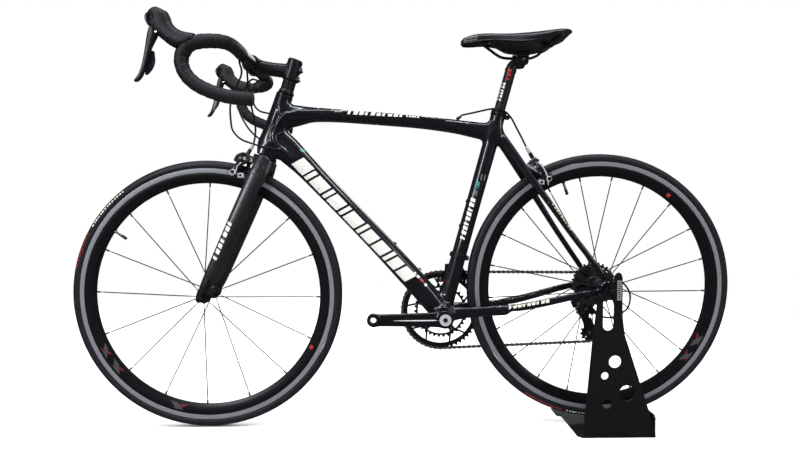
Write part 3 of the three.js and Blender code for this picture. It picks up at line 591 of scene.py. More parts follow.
LACQUER = finish("gloss_lacquer", (0.0016, 0.0018, 0.003), 0.3, coat=1.0, coat_rough=0.07, patch=30,
                 second=(0.0034, 0.004, 0.007), spread=0.04, grain=[("noise", 900, 0.004)])
SATIN = finish("satin_graphite", (0.008, 0.008, 0.009), 0.34, coat=0.6, coat_rough=0.24, patch=80,
               second=(0.008, 0.008, 0.0095), spread=0.04, grain=[("noise", 1400, 0.006)])
MATT_POST = finish("matt_carbon_post", (0.0045, 0.0045, 0.005), 0.46, patch=120,
                   second=(0.006, 0.006, 0.0066),
                   specular=0.4, grain=[("noise", 1600, 0.008)])
ALLOY = finish("black_anodised", (0.006, 0.006, 0.0075), 0.32, metal=0.3, patch=120,
               second=(0.009, 0.009, 0.011), grain=[("noise", 2600, 0.006)])
DARK_METAL = finish("dark_anodised", (0.014, 0.014, 0.017), 0.3, metal=0.7, patch=150,
                    second=(0.024, 0.024, 0.028), grain=[("noise", 2200, 0.005)])
SILVER = finish("polished_steel", (0.5, 0.5, 0.5), 0.26, metal=1.0, patch=220, second=(0.62, 0.62, 0.63),
                grain=[("noise", 2400, 0.004)])
BRIGHT_DISC = finish("satin_silver", (0.5, 0.5, 0.51), 0.42, metal=0.35, patch=150,
                     second=(0.58, 0.58, 0.59),
                     grain=[("rings", 2200, 0.01)])
CHAIN_METAL = finish("oiled_chain", (0.022, 0.02, 0.019), 0.4, metal=0.6, patch=160,
                     second=(0.22, 0.2, 0.18),
                     spread=0.12, grain=[("noise", 1800, 0.01)])
COG_METAL = finish("cog_steel", (0.05, 0.048, 0.045), 0.36, metal=0.9, patch=200,
                   second=(0.12, 0.115, 0.105),
                   spread=0.1, grain=[("rings", 1600, 0.01)])
CRANK_GLOSS = finish("gloss_crank", (0.0025, 0.0025, 0.003), 0.16, coat=0.9, coat_rough=0.05, patch=60,
                     second=(0.0036, 0.0036, 0.0042), grain=[("noise", 900, 0.003)])
LEVER = finish("lever_carbon_grey", (0.008, 0.009, 0.014), 0.34, coat=0.3, coat_rough=0.2, patch=200,
               second=(0.013, 0.015, 0.023), grain=[("noise", 1500, 0.006)])
LEVER_BLACK = finish("lever_black", (0.0035, 0.0035, 0.0045), 0.44, coat=0.08, coat_rough=0.3, patch=250,
                     second=(0.005, 0.005, 0.006), grain=[("noise", 1500, 0.006)])
RUBBER = finish("hood_rubber", (0.0055, 0.0055, 0.007), 0.5, patch=180, second=(0.006, 0.006, 0.007),
                spread=0.06,
                specular=0.3, grain=[("cells", 620, 0.08), ("noise", 2400, 0.02)])
TAPE = finish("cork_tape", (0.0065, 0.0065, 0.008), 0.56, sheen=0.01, patch=240,
              second=(0.0075, 0.0075, 0.009),
              spread=0.07, specular=0.3, grain=[("cells", 900, 0.05), ("noise", 420, 0.06)])
TYRE_RUBBER = finish("tyre_rubber", (0.008, 0.008, 0.011), 0.46, patch=120,
                     second=(0.0125, 0.0125, 0.016),
                     spread=0.07, specular=0.3, grain=[("rings", 1500, 0.02), ("noise", 900, 0.02)])
TREAD = finish("tread_rubber", (0.006, 0.006, 0.0072), 0.58, patch=90, second=(0.0095, 0.0095, 0.011),
               specular=0.3,
               grain=[("cells", 700, 0.05), ("noise", 1500, 0.04)])
RIM_BLACK = finish("rim_satin_black", (0.003, 0.003, 0.0036), 0.32, metal=0.1, patch=160,
                   second=(0.0045, 0.0045, 0.0055), specular=0.4, grain=[("noise", 1800, 0.006)])
TRACK = finish("machined_track", (0.24, 0.24, 0.26), 0.42, metal=0.5, patch=140,
               second=(0.32, 0.32, 0.35),
               spread=0.08, grain=[("rings", 2600, 0.012)])
SPOKE_METAL = finish("spoke_black", (0.006, 0.006, 0.0065), 0.5, metal=0.1, patch=300)
CABLE = finish("cable_jacket", (0.003, 0.003, 0.0035), 0.45, patch=200, second=(0.0045, 0.0045, 0.005),
               specular=0.35, grain=[("noise", 1200, 0.015)])
SADDLE_SKIN = finish("saddle_cover", (0.003, 0.003, 0.004), 0.38, coat=0.35, coat_rough=0.24, patch=130,
                     second=(0.0055, 0.0055, 0.0068), spread=0.06, specular=0.4,
                     grain=[("cells", 1500, 0.025), ("noise", 260, 0.03)])
SADDLE_EDGE = finish("saddle_shell", (0.003, 0.003, 0.0034), 0.38, patch=200,
                     second=(0.0045, 0.0045, 0.005),
                     grain=[("noise", 1500, 0.01)])
POWDER = finish("powder_coat", (0.0035, 0.0035, 0.004), 0.5, patch=60, second=(0.005, 0.005, 0.0056),
                spread=0.07,
                specular=0.35, grain=[("noise", 1500, 0.05), ("noise", 500, 0.03)])
MOULDED = finish("moulded_black", (0.004, 0.004, 0.0044), 0.5, patch=260, second=(0.006, 0.006, 0.0066),
                 specular=0.35, grain=[("noise", 1500, 0.02)])
PAD_RUBBER = finish("brake_pad", (0.005, 0.005, 0.0055), 0.7, patch=260, second=(0.008, 0.008, 0.009),
                    specular=0.3, grain=[("noise", 900, 0.05)])
DIM_MARK = finish("dim_mark", (0.035, 0.035, 0.04), 0.4, patch=90, second=(0.05, 0.05, 0.056))
DIM_RED = finish("dim_red_mark", (0.09, 0.004, 0.008), 0.4, patch=90, second=(0.13, 0.006, 0.012))
CALIPER = finish("caliper_black", (0.008, 0.008, 0.01), 0.3, metal=0.4, coat=0.3, coat_rough=0.15,
                 patch=200,
                 second=(0.013, 0.013, 0.016), grain=[("noise", 2000, 0.005)])
BRASS = finish("pale_titanium", (0.2, 0.17, 0.12), 0.3, metal=1.0, patch=260)
WHITE_MARK = finish("off_white_mark", (0.72, 0.70, 0.64), 0.35, coat=0.5, patch=60,
                    second=(0.78, 0.76, 0.71))
GREY_MARK = finish("grey_mark", (0.22, 0.22, 0.23), 0.4, coat=0.3, patch=90, second=(0.27, 0.27, 0.28))
GOLD_MARK = finish("cream_mark", (0.38, 0.32, 0.2), 0.4, coat=0.4, patch=90, second=(0.44, 0.38, 0.26))
RED_MARK = finish("red_mark", (0.32, 0.008, 0.01), 0.35, coat=0.5, patch=90, second=(0.38, 0.015, 0.015))
TEAL_MARK = finish("teal_mark", (0.03, 0.22, 0.24), 0.35, coat=0.5, patch=90, second=(0.05, 0.3, 0.31))


# ---- Making pieces ----
CLEAR_OF_BIKE = 300.0
TUBE_FLANK = 20.0
WELD = 2e-6


def piece(name, shape, finishes, body=None, slot=None, nodes=(), at=(0, 0, 0), angle=SMOOTH_ANGLE):
    """A mesh object from a shape in mm, which may ride on a body and stand for CAD nodes."""
    if isinstance(shape, tuple):
        shape = Shape().add(shape)
    if not isinstance(finishes, (list, tuple)):
        finishes = [finishes]
    mesh = bpy.data.meshes.new(name)
    points = (np.array(shape.points, float) - at) * MM
    mesh.from_pydata(points.tolist(), [], shape.faces)
    for made in finishes:
        mesh.materials.append(made)
    mesh.polygons.foreach_set("material_index", shape.paint)
    work = bmesh.new()
    work.from_mesh(mesh)
    bmesh.ops.remove_doubles(work, verts=work.verts, dist=WELD)
    bmesh.ops.recalc_face_normals(work, faces=work.faces)
    work.to_mesh(mesh)
    work.free()
    mesh.shade_smooth()
    mesh.set_sharp_from_angle(angle=angle)
    made = bpy.data.objects.new(name, mesh)
    made.location = Vector(at) * MM
    bpy.context.scene.collection.objects.link(made)
    if nodes:
        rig.replaces(made, *nodes)
    if slot:
        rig.slot(made, slot)
    if body:
        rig.ride(made, body)
    return made


def surface_of(*objects):
    """A tree that finds points on pieces, in millimetres in the shared frame."""
    points, faces = [], []
    for obj in objects:
        start = len(points)
        offset = np.array(obj.matrix_world.translation)
        points.extend(((np.array(v.co) + offset) / MM).tolist() for v in obj.data.vertices)
        faces.extend([i + start for i in f.vertices] for f in obj.data.polygons)
    return BVHTree.FromPolygons(points, faces)


def grid_solid(over, under, nu, nv):
    """A closed thin solid from two grids of (nu + 1) x (nv + 1) points."""
    wide = nu + 1
    count = len(over)
    faces = []
    for j in range(nv):
        for i in range(nu):
            quad = (j * wide + i, j * wide + i + 1, (j + 1) * wide + i + 1, (j + 1) * wide + i)
            faces.append(quad)
            faces.append(tuple(q + count for q in quad[::-1]))
    rim = list(range(wide))
    rim += [j * wide + nu for j in range(1, nv + 1)]
    rim += [nv * wide + i for i in range(nu - 1, -1, -1)]
    rim += [j * wide for j in range(nv - 1, 0, -1)]
    for p, q in zip(rim, rim[1:] + rim[:1]):
        faces.append((p, p + count, q + count, q))
    return over + under, faces


def mark(tree, corners, side, nu=12, nv=4, proud=0.22, sunk=0.25):
    """A thin closed patch laid on a surface: four (x, z) corners, seen from one side of the bicycle."""
    a, b, c, d = (np.array(p, float) for p in corners)
    over, under = [], []
    for j in range(nv + 1):
        for i in range(nu + 1):
            s, t = i / nu, j / nv
            x, z = (1 - t) * ((1 - s) * a + s * b) + t * ((1 - s) * d + s * c)
            spot, normal, _, _ = tree.ray_cast(Vector((x, side * CLEAR_OF_BIKE, z)),
                                               Vector((0, -side, 0)))
            if spot is None:
                spot, normal, _, _ = tree.find_nearest(Vector((x, side * TUBE_FLANK, z)))
            over.append(np.array(spot) + np.array(normal) * proud)
            under.append(np.array(spot) - np.array(normal) * sunk)
    return grid_solid(over, under, nu, nv)


def slanted(start, along, across, length, height, slant=0.35):
    """The corners of a leaning bar: its start on the base line, then its length and height."""
    a = np.array(start, float)
    along, across = np.array(along, float), np.array(across, float)
    lean = along * height * slant
    return [a, a + along * length, a + along * length + across * height + lean,
            a + across * height + lean]


# ---- Camera, floor and light ----
CAMERA_AT = Vector((-0.0361, -1.2479, 0.5583))
CAMERA_PAN = math.radians(1.13)
CAMERA_TILT = math.radians(-2.33)
CAMERA_LENS = 22.37
CAMERA_SENSOR = 36.0
FLOOR_RADIUS = 2.2
FLOOR_DROP = 0.0006
AMBIENT = 0.065
COOL = (0.9, 0.95, 1.0)
LAMPS = (
    ("overhead", (0, 0.2, 3.2), (0, 0, 0.3), (4.0, 4.0), 250, (1, 1, 1), False),
    ("top_strip", (0, -0.6, 2.6), (0, 0, 0.5), (3.4, 0.34), 46, COOL, True),
    ("left_box", (-1.75, -2.1, 1.65), (-0.2, 0, 0.55), (0.42, 1.5), 34, (0.9, 0.94, 1.0), True),
    ("right_box", (2.4, -1.8, 1.6), (0.2, 0, 0.45), (0.4, 1.6), 12, (1, 1, 1), True),
    ("rear_box", (0.6, 2.6, 2.0), (0, 0, 0.5), (2.4, 0.8), 20, (1, 1, 1), True),
)


def add_camera():
    data = bpy.data.cameras.new("camera")
    data.lens = CAMERA_LENS
    data.sensor_width = CAMERA_SENSOR
    data.clip_end = 100.0
    camera = bpy.data.objects.new("camera", data)
    level = math.cos(CAMERA_TILT)
    ahead = Vector((math.sin(CAMERA_PAN) * level, math.cos(CAMERA_PAN) * level, math.sin(CAMERA_TILT)))
    camera.location = CAMERA_AT
    camera.rotation_euler = ahead.to_track_quat("-Z", "Y").to_euler()
    bpy.context.scene.collection.objects.link(camera)
    bpy.context.scene.camera = camera


def add_floor():
    mesh = bpy.data.meshes.new("floor")
    rim = [(x, z, 0) for x, z in circle((0, 0), FLOOR_RADIUS, 96)]
    mesh.from_pydata(rim, [], [tuple(range(len(rim)))])
    mesh.materials.append(finish("pale_floor", (0.86, 0.86, 0.86), 0.85, second=(0.88, 0.88, 0.88),
                                 specular=0.1))
    floor = bpy.data.objects.new("floor", mesh)
    floor.location.z = -FLOOR_DROP
    floor.visible_glossy = False
    bpy.context.scene.collection.objects.link(floor)
    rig.stage(floor)


def add_light(name, place, target, size, power, tint, mirrored_too):
    data = bpy.data.lights.new(name, "AREA")
    data.shape = "RECTANGLE"
    data.size, data.size_y = size
    data.energy = power
    data.color = tint
    lamp = bpy.data.objects.new(name, data)
    lamp.location = place
    lamp.rotation_euler = (Vector(target) - Vector(place)).to_track_quat("-Z", "Y").to_euler()
    lamp.visible_glossy = mirrored_too
    bpy.context.scene.collection.objects.link(lamp)


def add_room():
    """A pale room: bright where it is seen directly, dimmer in what it lights and in reflections."""
    world = bpy.data.worlds.new("studio")
    world.use_nodes = True
    bpy.context.scene.world = world
    nodes, links = world.node_tree.nodes, world.node_tree.links
    nodes["Background"].inputs["Color"].default_value = (0.9, 0.93, 1.0, 1)
    nodes["Background"].inputs["Strength"].default_value = AMBIENT
    seen = nodes.new("ShaderNodeBackground")
    seen.inputs["Color"].default_value = (1, 1, 1, 1)
    seen.inputs["Strength"].default_value = 1.0
    pick = nodes.new("ShaderNodeMixShader")
    links.new(nodes.new("ShaderNodeLightPath").outputs["Is Camera Ray"], pick.inputs["Fac"])
    links.new(nodes["Background"].outputs["Background"], pick.inputs[1])
    links.new(seen.outputs["Background"], pick.inputs[2])
    links.new(pick.outputs["Shader"], nodes["World Output"].inputs["Surface"])
    for lamp in LAMPS:
        add_light(*lamp)
    bpy.context.scene.view_settings.view_transform = "Standard"


add_camera()
add_floor()
add_room()


# ---- Wheels: built round their own axles ----
TYRE_CENTRE = 322.6
TYRE_HALF = 11.4
RIM_OUT = 314.7
TRACK_IN = 303.4
RIM_IN = 277.6
WHEEL_STEPS = 192
TREAD_ROWS = range(7, 13)
VALVE_TIP = 245.0
VALVE_ROOT = 279.0
FRONT_SPOKES = 16
REAR_SPOKES = 21
MARK_STEP = 1.5
RIM_PROFILE = [
    (RIM_OUT, -9.2), (314.2, -9.55), (TRACK_IN, -9.8), (302.6, -9.55), (300.6, -9.75), (294, -8.7),
    (287, -6.8), (281.5, -4.9), (278.4, -3.0), (RIM_IN, 0),
]


def at_angle(radius, angle, y=0.0):
    return np.array((radius * math.cos(angle), y, radius * math.sin(angle)))


def tyre_shape():
    shape = Shape()
    casing = [(315.2, -8.3)]
    for step in range(-9, 10):
        angle = math.radians(step * 13.6)
        casing.append((TYRE_CENTRE + TYRE_HALF * math.cos(angle) - (0.0 if abs(step) < 4 else 0.22),
                       TYRE_HALF * math.sin(angle)))
    casing.append((315.2, 8.3))
    shape.add(lathe(casing, WHEEL_STEPS))
    for index in range(len(shape.faces)):
        if index // WHEEL_STEPS in TREAD_ROWS:
            shape.paint[index] = 1
    return shape


def rim_shape(valve_angle):
    profile = RIM_PROFILE + [(r, -y) for r, y in RIM_PROFILE[-2::-1]]
    shape = Shape().add(lathe(profile, WHEEL_STEPS))
    for index in range(len(shape.faces)):
        if index // WHEEL_STEPS in (1, len(profile) - 3):
            shape.paint[index] = 1
    hub_side = at_angle(VALVE_TIP, valve_angle)
    rim_side = at_angle(VALVE_ROOT, valve_angle)
    direction = rim_side - hub_side
    shape.add(rod(rim_side, rim_side - direction * 0.12, 4.2, 6, 0.4), 2)
    shape.add(rod(rim_side, hub_side + direction * 0.4, 3.0, 16), 2)
    shape.add(rod(hub_side + direction * 0.45, hub_side, 3.6, 10, 0.8), 3)
    return shape


def blade(start, end, wide=2.7, thin=1.1):
    """A bladed spoke, round at both ends, flat in the wheel's plane."""
    start, end = np.array(start, float), np.array(end, float)
    ahead = (end - start) / np.linalg.norm(end - start)
    across = np.cross(ahead, (0, 1, 0))
    across /= np.linalg.norm(across)
    over = np.cross(across, ahead)
    rings = []
    turns = 2 * np.pi * np.arange(8) / 8
    for t, w, h in ((0, 1.8, 1.8), (0.05, 1.8, 1.8), (0.09, wide, thin), (0.92, wide, thin),
                    (0.95, 1.8, 1.8), (1, 1.8, 1.8)):
        centre = start + (end - start) * t
        flat, thick = np.cos(turns) * w / 2, np.sin(turns) * h / 2
        rings.append(centre + np.outer(flat, across) + np.outer(thick, over))
    return loft(rings)


def spoke_set(spokes):
    """Spokes, each (angle at the rim, hub radius, hub y, turn at the hub), with their nipples."""
    shape = Shape()
    for angle, hub_r, hub_y, turn in spokes:
        hub_end = at_angle(hub_r, angle + turn, hub_y)
        rim_end = at_angle(RIM_IN - 0.2, angle)
        shape.add(blade(hub_end, rim_end))
        ahead = (rim_end - hub_end) / np.linalg.norm(rim_end - hub_end)
        shape.add(rod(rim_end - ahead * 9, rim_end + ahead * 1.5, 2.1, 8, 0.3), 1)
        shape.add(rod(hub_end - ahead * 3, hub_end + ahead * 3.5, 1.9, 8, 0.3), 1)
    return shape


def front_spokes():
    return [(math.radians(88.5 + i * 360 / FRONT_SPOKES), 14, 33.5 if i % 2 else -33.5, 0.0)
            for i in range(FRONT_SPOKES)]


def rear_spokes():
    kinds = ((14, -36, 0.0), (20, 18.3, 1.15), (20, 21.2, -1.15))
    return [(math.radians(14.5 + i * 360 / REAR_SPOKES), *kinds[i % 3]) for i in range(REAR_SPOKES)]


FRONT_HUB = [
    (2.9, -49.6), (7.2, -49.6), (8.2, -48.8), (8.2, -40.5), (9.4, -39.5), (9.4, -37.5), (15.2, -36.4),
    (16.2, -35.4), (16.2, -32), (15.2, -31), (10.4, -29), (8.6, -24), (8.0, -12), (8.0, 0),
]
REAR_HUB = [
    (2.9, -64.6), (6.8, -64.6), (7.7, -63.8), (7.7, -44), (9.6, -41.5), (15.4, -39.4), (16.2, -38.4),
    (16.2, -34.6), (15.2, -33.6), (10.6, -31), (9.6, -20), (9.4, 4), (11, 12), (21, 15.6), (22.2, 16.8),
    (22.2, 22), (21, 22.9), (8.2, 23.2), (7.6, 64.2), (6.8, 64.6), (2.9, 64.6),
]


def rim_band(turn_from, turn_to, r_from, r_to, side, slant=0.0, proud=0.2):
    """A thin closed mark on a rim's flank, between two angles in degrees and two radii."""
    profile_r = [r for r, _ in RIM_PROFILE][::-1]
    profile_y = [-y for _, y in RIM_PROFILE][::-1]
    nu = max(2, int(abs(turn_to - turn_from) / MARK_STEP))
    over, under = [], []
    for j in range(4):
        r = r_from + (r_to - r_from) * j / 3
        y = float(np.interp(r, profile_r, profile_y))
        for i in range(nu + 1):
            angle = math.radians(turn_from + (turn_to - turn_from) * i / nu + slant * j / 3)
            over.append(at_angle(r, angle, side * (y + proud)))
            under.append(at_angle(r, angle, side * (y - 0.3)))
    return grid_solid(over, under, nu, 3)


def tyre_band(turn_from, turn_to, around_from, around_to, side, proud=0.12):
    """A thin closed mark on a tyre's flank; around is in degrees from the middle of the tread."""
    nu = max(2, int(abs(turn_to - turn_from) / MARK_STEP))
    over, under = [], []
    for j in range(4):
        lean = math.radians(around_from + (around_to - around_from) * j / 3)
        for i in range(nu + 1):
            angle = math.radians(turn_from + (turn_to - turn_from) * i / nu)
            for rows, grow in ((over, proud), (under, -0.4)):
                out, up = (TYRE_HALF + grow) * math.cos(lean), (TYRE_HALF + grow) * math.sin(lean)
                rows.append(at_angle(TYRE_CENTRE + out, angle, side * up))
    return grid_solid(over, under, nu, 3)


def tyre_marks(groups):
    """Rows of short bars that stand for the print on a tyre's flank: (start, bars, step, height)."""
    shape = Shape()
    for start, bars, step, paint in groups:
        for i in range(bars):
            width = step * (0.5 + 0.25 * ((i * 7) % 3) / 2)
            for side in (-1, 1):
                turn = start + i * step
                shape.add(tyre_band(turn, turn + width, 62, 78, side), paint)
    return shape


def add_wheel(end, axle, hub, spokes, valve_angle, marks, tyre_print):
    at = (axle[0], 0, axle[1])
    body = f"{end}_wheel"

    def place(name, shape, finishes, slot=None, nodes=()):
        made = piece(name, shape, finishes, slot=slot, nodes=nodes)
        made.location = Vector(at) * MM
        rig.ride(made, body)

    place(f"{end}_tyre_casing", tyre_shape(), [TYRE_RUBBER, TREAD], "tyre_rubber", [f"{end}_tyre"])
    place(f"{end}_rim_shell", rim_shape(valve_angle), [RIM_BLACK, TRACK, BRASS, MOULDED], "rim_black",
          [f"{end}_rim"])
    place(f"{end}_hub_shell", Shape().add(lathe(hub, 40)), DARK_METAL, "hub_black", [f"{end}_hub"])
    place(f"{end}_spokes", spoke_set(spokes), [SPOKE_METAL, ALLOY], "hub_black")
    graphics = Shape()
    for turn_from, turn_to, r_from, r_to, slant, paint in marks:
        for side in (-1, 1):
            graphics.add(rim_band(turn_from, turn_to, r_from, r_to, side, slant), paint)
    place(f"{end}_rim_marks", graphics, [RED_MARK, DIM_MARK, DIM_RED])
    place(f"{end}_tyre_print", tyre_marks(tyre_print), [WHITE_MARK, RED_MARK])


def rim_graphics(red_square, chevrons):
    """The plain marks of one rim: a red square and a run of leaning bars."""
    rows = [(red_square, red_square + 1.9, 284, 293, 0.0, 0)]
    return rows + [(turn, turn + width, 284, 298, slant, paint) for turn, width, slant, paint in chevrons]


def add_wheels():
    front_hub = FRONT_HUB + [(r, -y) for r, y in FRONT_HUB[-2::-1]]
    front_marks = rim_graphics(-28.5, [(205, 3.4, 4, 1), (210, 2, -4, 2), (214, 4, 4, 1),
                                       (220, 2.4, -4, 2),
                                       (250, 3.4, 4, 1), (256, 3, -4, 2)])
    add_wheel("front", FRONT_AXLE, front_hub, front_spokes(), math.radians(145.3), front_marks,
              [(128, 14, 1.5, 0), (152, 10, 1.7, 1)])
    rear_marks = rim_graphics(52, [(318, 3.4, 4, 1), (323, 2, -4, 2), (327, 4, 4, 1), (333, 2.4, -4, 2)])
    add_wheel("rear", REAR_AXLE, REAR_HUB, rear_spokes(), math.radians(109), rear_marks,
              [(236, 12, 1.5, 1), (256, 14, 1.4, 0)])


add_wheels()


# ---- Frame ----
def steer_at(t, lean=0.0):
    return HEAD_TOP + DOWN * t + np.array((lean, 0, 0))


def seat_at(t):
    return BB_POINT + SEAT_UP * t


TOP_TUBE = [
    (-300, 0, 776, 62, 34), (-262, 0, 779, 50, 35), (-232, 0, 781, 38, 37), (-180, 0, 780, 33, 38),
    (-67, 0, 772, 31, 38), (40, 0, 764, 32, 37), (130, 0, 753, 35, 34), (190, 0, 743, 42, 31),
    (232, 0, 738, 46, 28),
]
DOWN_TUBE = [
    (-316, 0, 722, 62, 38), (-290, 0, 696, 66, 42), (-250, 0, 657, 58, 46), (-200, 0, 605, 54, 48),
    (-70, 0, 470, 54, 50), (45, 0, 344, 56, 60), (86, 0, 296, 54, 72),
]
CHAINSTAY = [
    (98, 24, 285, 36, 20), (129, 26, 288, 31, 16), (160, 29, 291.6, 26, 14.5),
    (196, 33.5, 294.8, 24, 13.5), (232, 38, 297.6, 24, 13), (247, 39.8, 299, 23.5, 13),
    (258, 41, 304, 18.5, 12.5), (290, 45, 308.6, 19, 12.5), (340, 51, 319.5, 18.5, 12.5),
    (415, 60, 337.5, 16.5, 10), (470, 66.2, 348.5, 16, 5), (482, 67.4, 351, 16, 4.6),
]
SEATSTAY = [
    (228, 9, 742, 26, 13), (258, 13, 700, 25, 13), (306, 27, 630, 20, 11), (350, 41, 566, 16, 11),
    (400, 51, 493, 14, 12), (446, 61, 430, 14, 10), (474, 67, 391, 14, 5.4), (480, 67.4, 376, 13, 4.8),
]
SEAT_TUBE = [(12, 40, 44), (60, 40, 42), (140, 37, 38), (300, 36, 35), (430, 37, 35), (515, 36.5, 35.5)]
HEAD_TUBE = [(0, 18.6, 4), (45, 18.4, 7), (105, 20, 10), (150, 22.8, 13.5), (160.4, 23, 13.5)]
CREASE = [
    (100, 765, 15.2), (0, 775, 15.6), (-110, 783, 16), (-200, 785.5, 16.4), (-256, 784, 17),
    (-274, 781.5, 18), (-291, 777, 19.4), (-305, 764, 20.6), (-318, 739, 21.4), (-320.5, 722, 21.8),
    (-314, 705, 22), (-297, 691, 22), (-270, 668, 21.4),
]
FRAME_NODES = [
    "head_tube", "top_tube", "down_tube", "seat_tube", "bottom_bracket_shell", "left_chainstay",
    "right_chainstay", "left_seatstay", "right_seatstay",
]


def frame_shell():
    """One lacquered shell: every tube flows into the next with a fillet, as a moulded frame does."""
    seat = [(*seat_at(t), deep, wide) for t, deep, wide in SEAT_TUBE]
    head = [(*steer_at(t, -nose / 2), 2 * r + nose, 2 * r) for t, r, nose in HEAD_TUBE]
    tubes = [(TOP_TUBE, 2.3), (DOWN_TUBE, 2.4), (seat, 2.1), (head, 2.0)]
    for _, side in SIDES:
        tubes.append((mirrored(CHAINSTAY, side), 2.6))
        tubes.append((mirrored(SEATSTAY, side), 2.2))
    drums = [(BB, 23.5, -38.4, 38.4)]
    cuts = [(BB, 12.7, -60, 60)]
    ribs = [([(x, side * y, z, 11, 6) for x, z, y in CREASE], 2.0) for _, side in SIDES]
    fork_room = [(*steer_at(t), 66, 66) for t in (161, 230)]
    post_bore = [(*seat_at(t), 28.4, 28.4) for t in (325, 560)]
    return skin((-362, -78, 248), (496, 78, 852), 2.1, tubes, drums, cuts,
                [(fork_room, 2.0), (post_bore, 2.0)],
                fillet=13, ribs=ribs)


def dropout(side):
    """The axle plate at the end of a stay; the right one carries the gear hanger."""
    x, z = REAR_AXLE
    outline = [(x - 19, z + 12), (x - 9, z + 20), (x + 8, z + 17), (x + 15, z + 5), (x + 14, z - 12),
               (x + 5.2, z - 12),
               (x + 5.2, z)]
    outline += circle((x, z), 5.2, 8, 0.0, math.pi)[1:]
    outline += [(x - 5.2, z - 12), (x - 16, z - 9)]
    if side > 0:
        outline[4:5] = [(x + 18, z - 26), (x + 8, z - 32), (x + 6, z - 20)]
    return side_slab(outline, side, 65.2, 69.8, bevel=0.7)


def bearing_cup(side):
    low, high = sorted((side * 38.4, side * 41.0))
    profile = [(12.9, low), (20.5, low), (21.5, low + 0.6), (21.5, high - 0.6), (20.5, high),
               (12.9, high)]
    return lathe(profile, 40, (BB[0], 0, BB[1]))


def both_sides(make):
    """One shape from what a function makes for the left side and for the right."""
    shape = Shape()
    for _, side in SIDES:
        shape.add(make(side))
    return shape


def bolt(place, direction, radius=2.6, depth=2.4):
    """A small socket-head screw that stands out along a direction."""
    rim = radius * 0.52
    profile = [(0, -1), (radius, -1), (radius, depth - 0.5), (radius - 0.5, depth), (rim, depth),
               (rim * 0.9, depth * 0.4),
               (0, depth * 0.4)]
    return placed(lathe(profile, 16), aimed(direction, place))


def bottle_bosses():
    """Four screws for bottle cages: two on the down tube's upper face, two on the seat tube's front."""
    shape = Shape()
    up = np.array((0.72, 0, 0.69))
    for x, z in ((38.5, 396.5), (-23.5, 461.5)):
        shape.add(bolt((x, 0, z), up, 4.2, 2.2))
    forward = np.array((-SEAT_UP[2], 0, SEAT_UP[0]))
    for t in (228, 292):
        shape.add(bolt(seat_at(t) + forward * 17.6, forward, 4.2, 2.2))
    return shape


def cable_stops():
    """Where housings enter the frame: short lacquered bosses with metal ferrules."""
    shape = Shape()
    stops = [
        ((-306, -25, 692), (-1, -0.1, 0.15)), ((-306, 25, 701), (-1, 0.1, 0.2)),
        ((-304, 23, 785), (-1, 0.1, 0.15)),
        ((132, -7.5, 772), (0.75, -0.25, 0.5)), ((462, 71, 364), (0.9, 0.2, 0.12)),
    ]
    for place, direction in stops:
        direction = np.array(direction) / np.linalg.norm(direction)
        place = np.array(place, float)
        shape.add(rod(place - direction * 4, place + direction * 6, 4.0, 14, 1.2))
        shape.add(rod(place + direction * 5, place + direction * 11, 2.9, 14, 0.5), 1)
    return shape


def down_tube_bars(tree, side):
    """Big off-white leaning bars that stand in for the down tube's lettering."""
    start = np.array((-266.0, 669.0))
    end = np.array((14.0, 377.0))
    along = (end - start) / np.linalg.norm(end - start)
    across = np.array((along[1], -along[0])) * -1
    shape = Shape()
    bars = [
        (0, 38, 33), (43, 11, 31), (60, 40, 31), (106, 10, 31), (121, 36, 31), (163, 10, 31),
        (179, 40, 31),
        (225, 10, 33), (241, 32, 31), (279, 34, 31), (319, 10, 33), (335, 26, 31), (367, 34, 31),
    ]
    for offset, length, height in bars:
        if side > 0:
            offset = 401 - offset - length
        foot = start + along * offset - across * 16.5
        nu = max(3, int(length / 4))
        corners = slanted(foot, along, across, length, height, 0.28 if side < 0 else -0.28)
        shape.add(mark(tree, corners, side, nu, 8))
    return shape


def bar_row(tree, side, start, end, height, bars, slant=0.35, gap=0.28):
    """A row of equal leaning bars along a line, which stands for a line of print."""
    start, end = np.array(start, float), np.array(end, float)
    length = np.linalg.norm(end - start)
    along = (end - start) / length
    across = np.array((-along[1], along[0]))
    if across[1] < 0:
        across = -across
    pitch = length / bars
    shape = Shape()
    for i in range(bars):
        width = pitch * (1 - gap) * (1.0 if i % 3 else 0.62)
        shape.add(mark(tree, slanted(start + along * i * pitch, along, across, width, height, slant),
                       side, 3, 3))
    return shape


def on_seat(low, high, shift=(0, 0)):
    """The start and end of a run along the seat tube, as (x, z) points."""
    return seat_at(low)[[0, 2]] + shift, seat_at(high)[[0, 2]] + shift


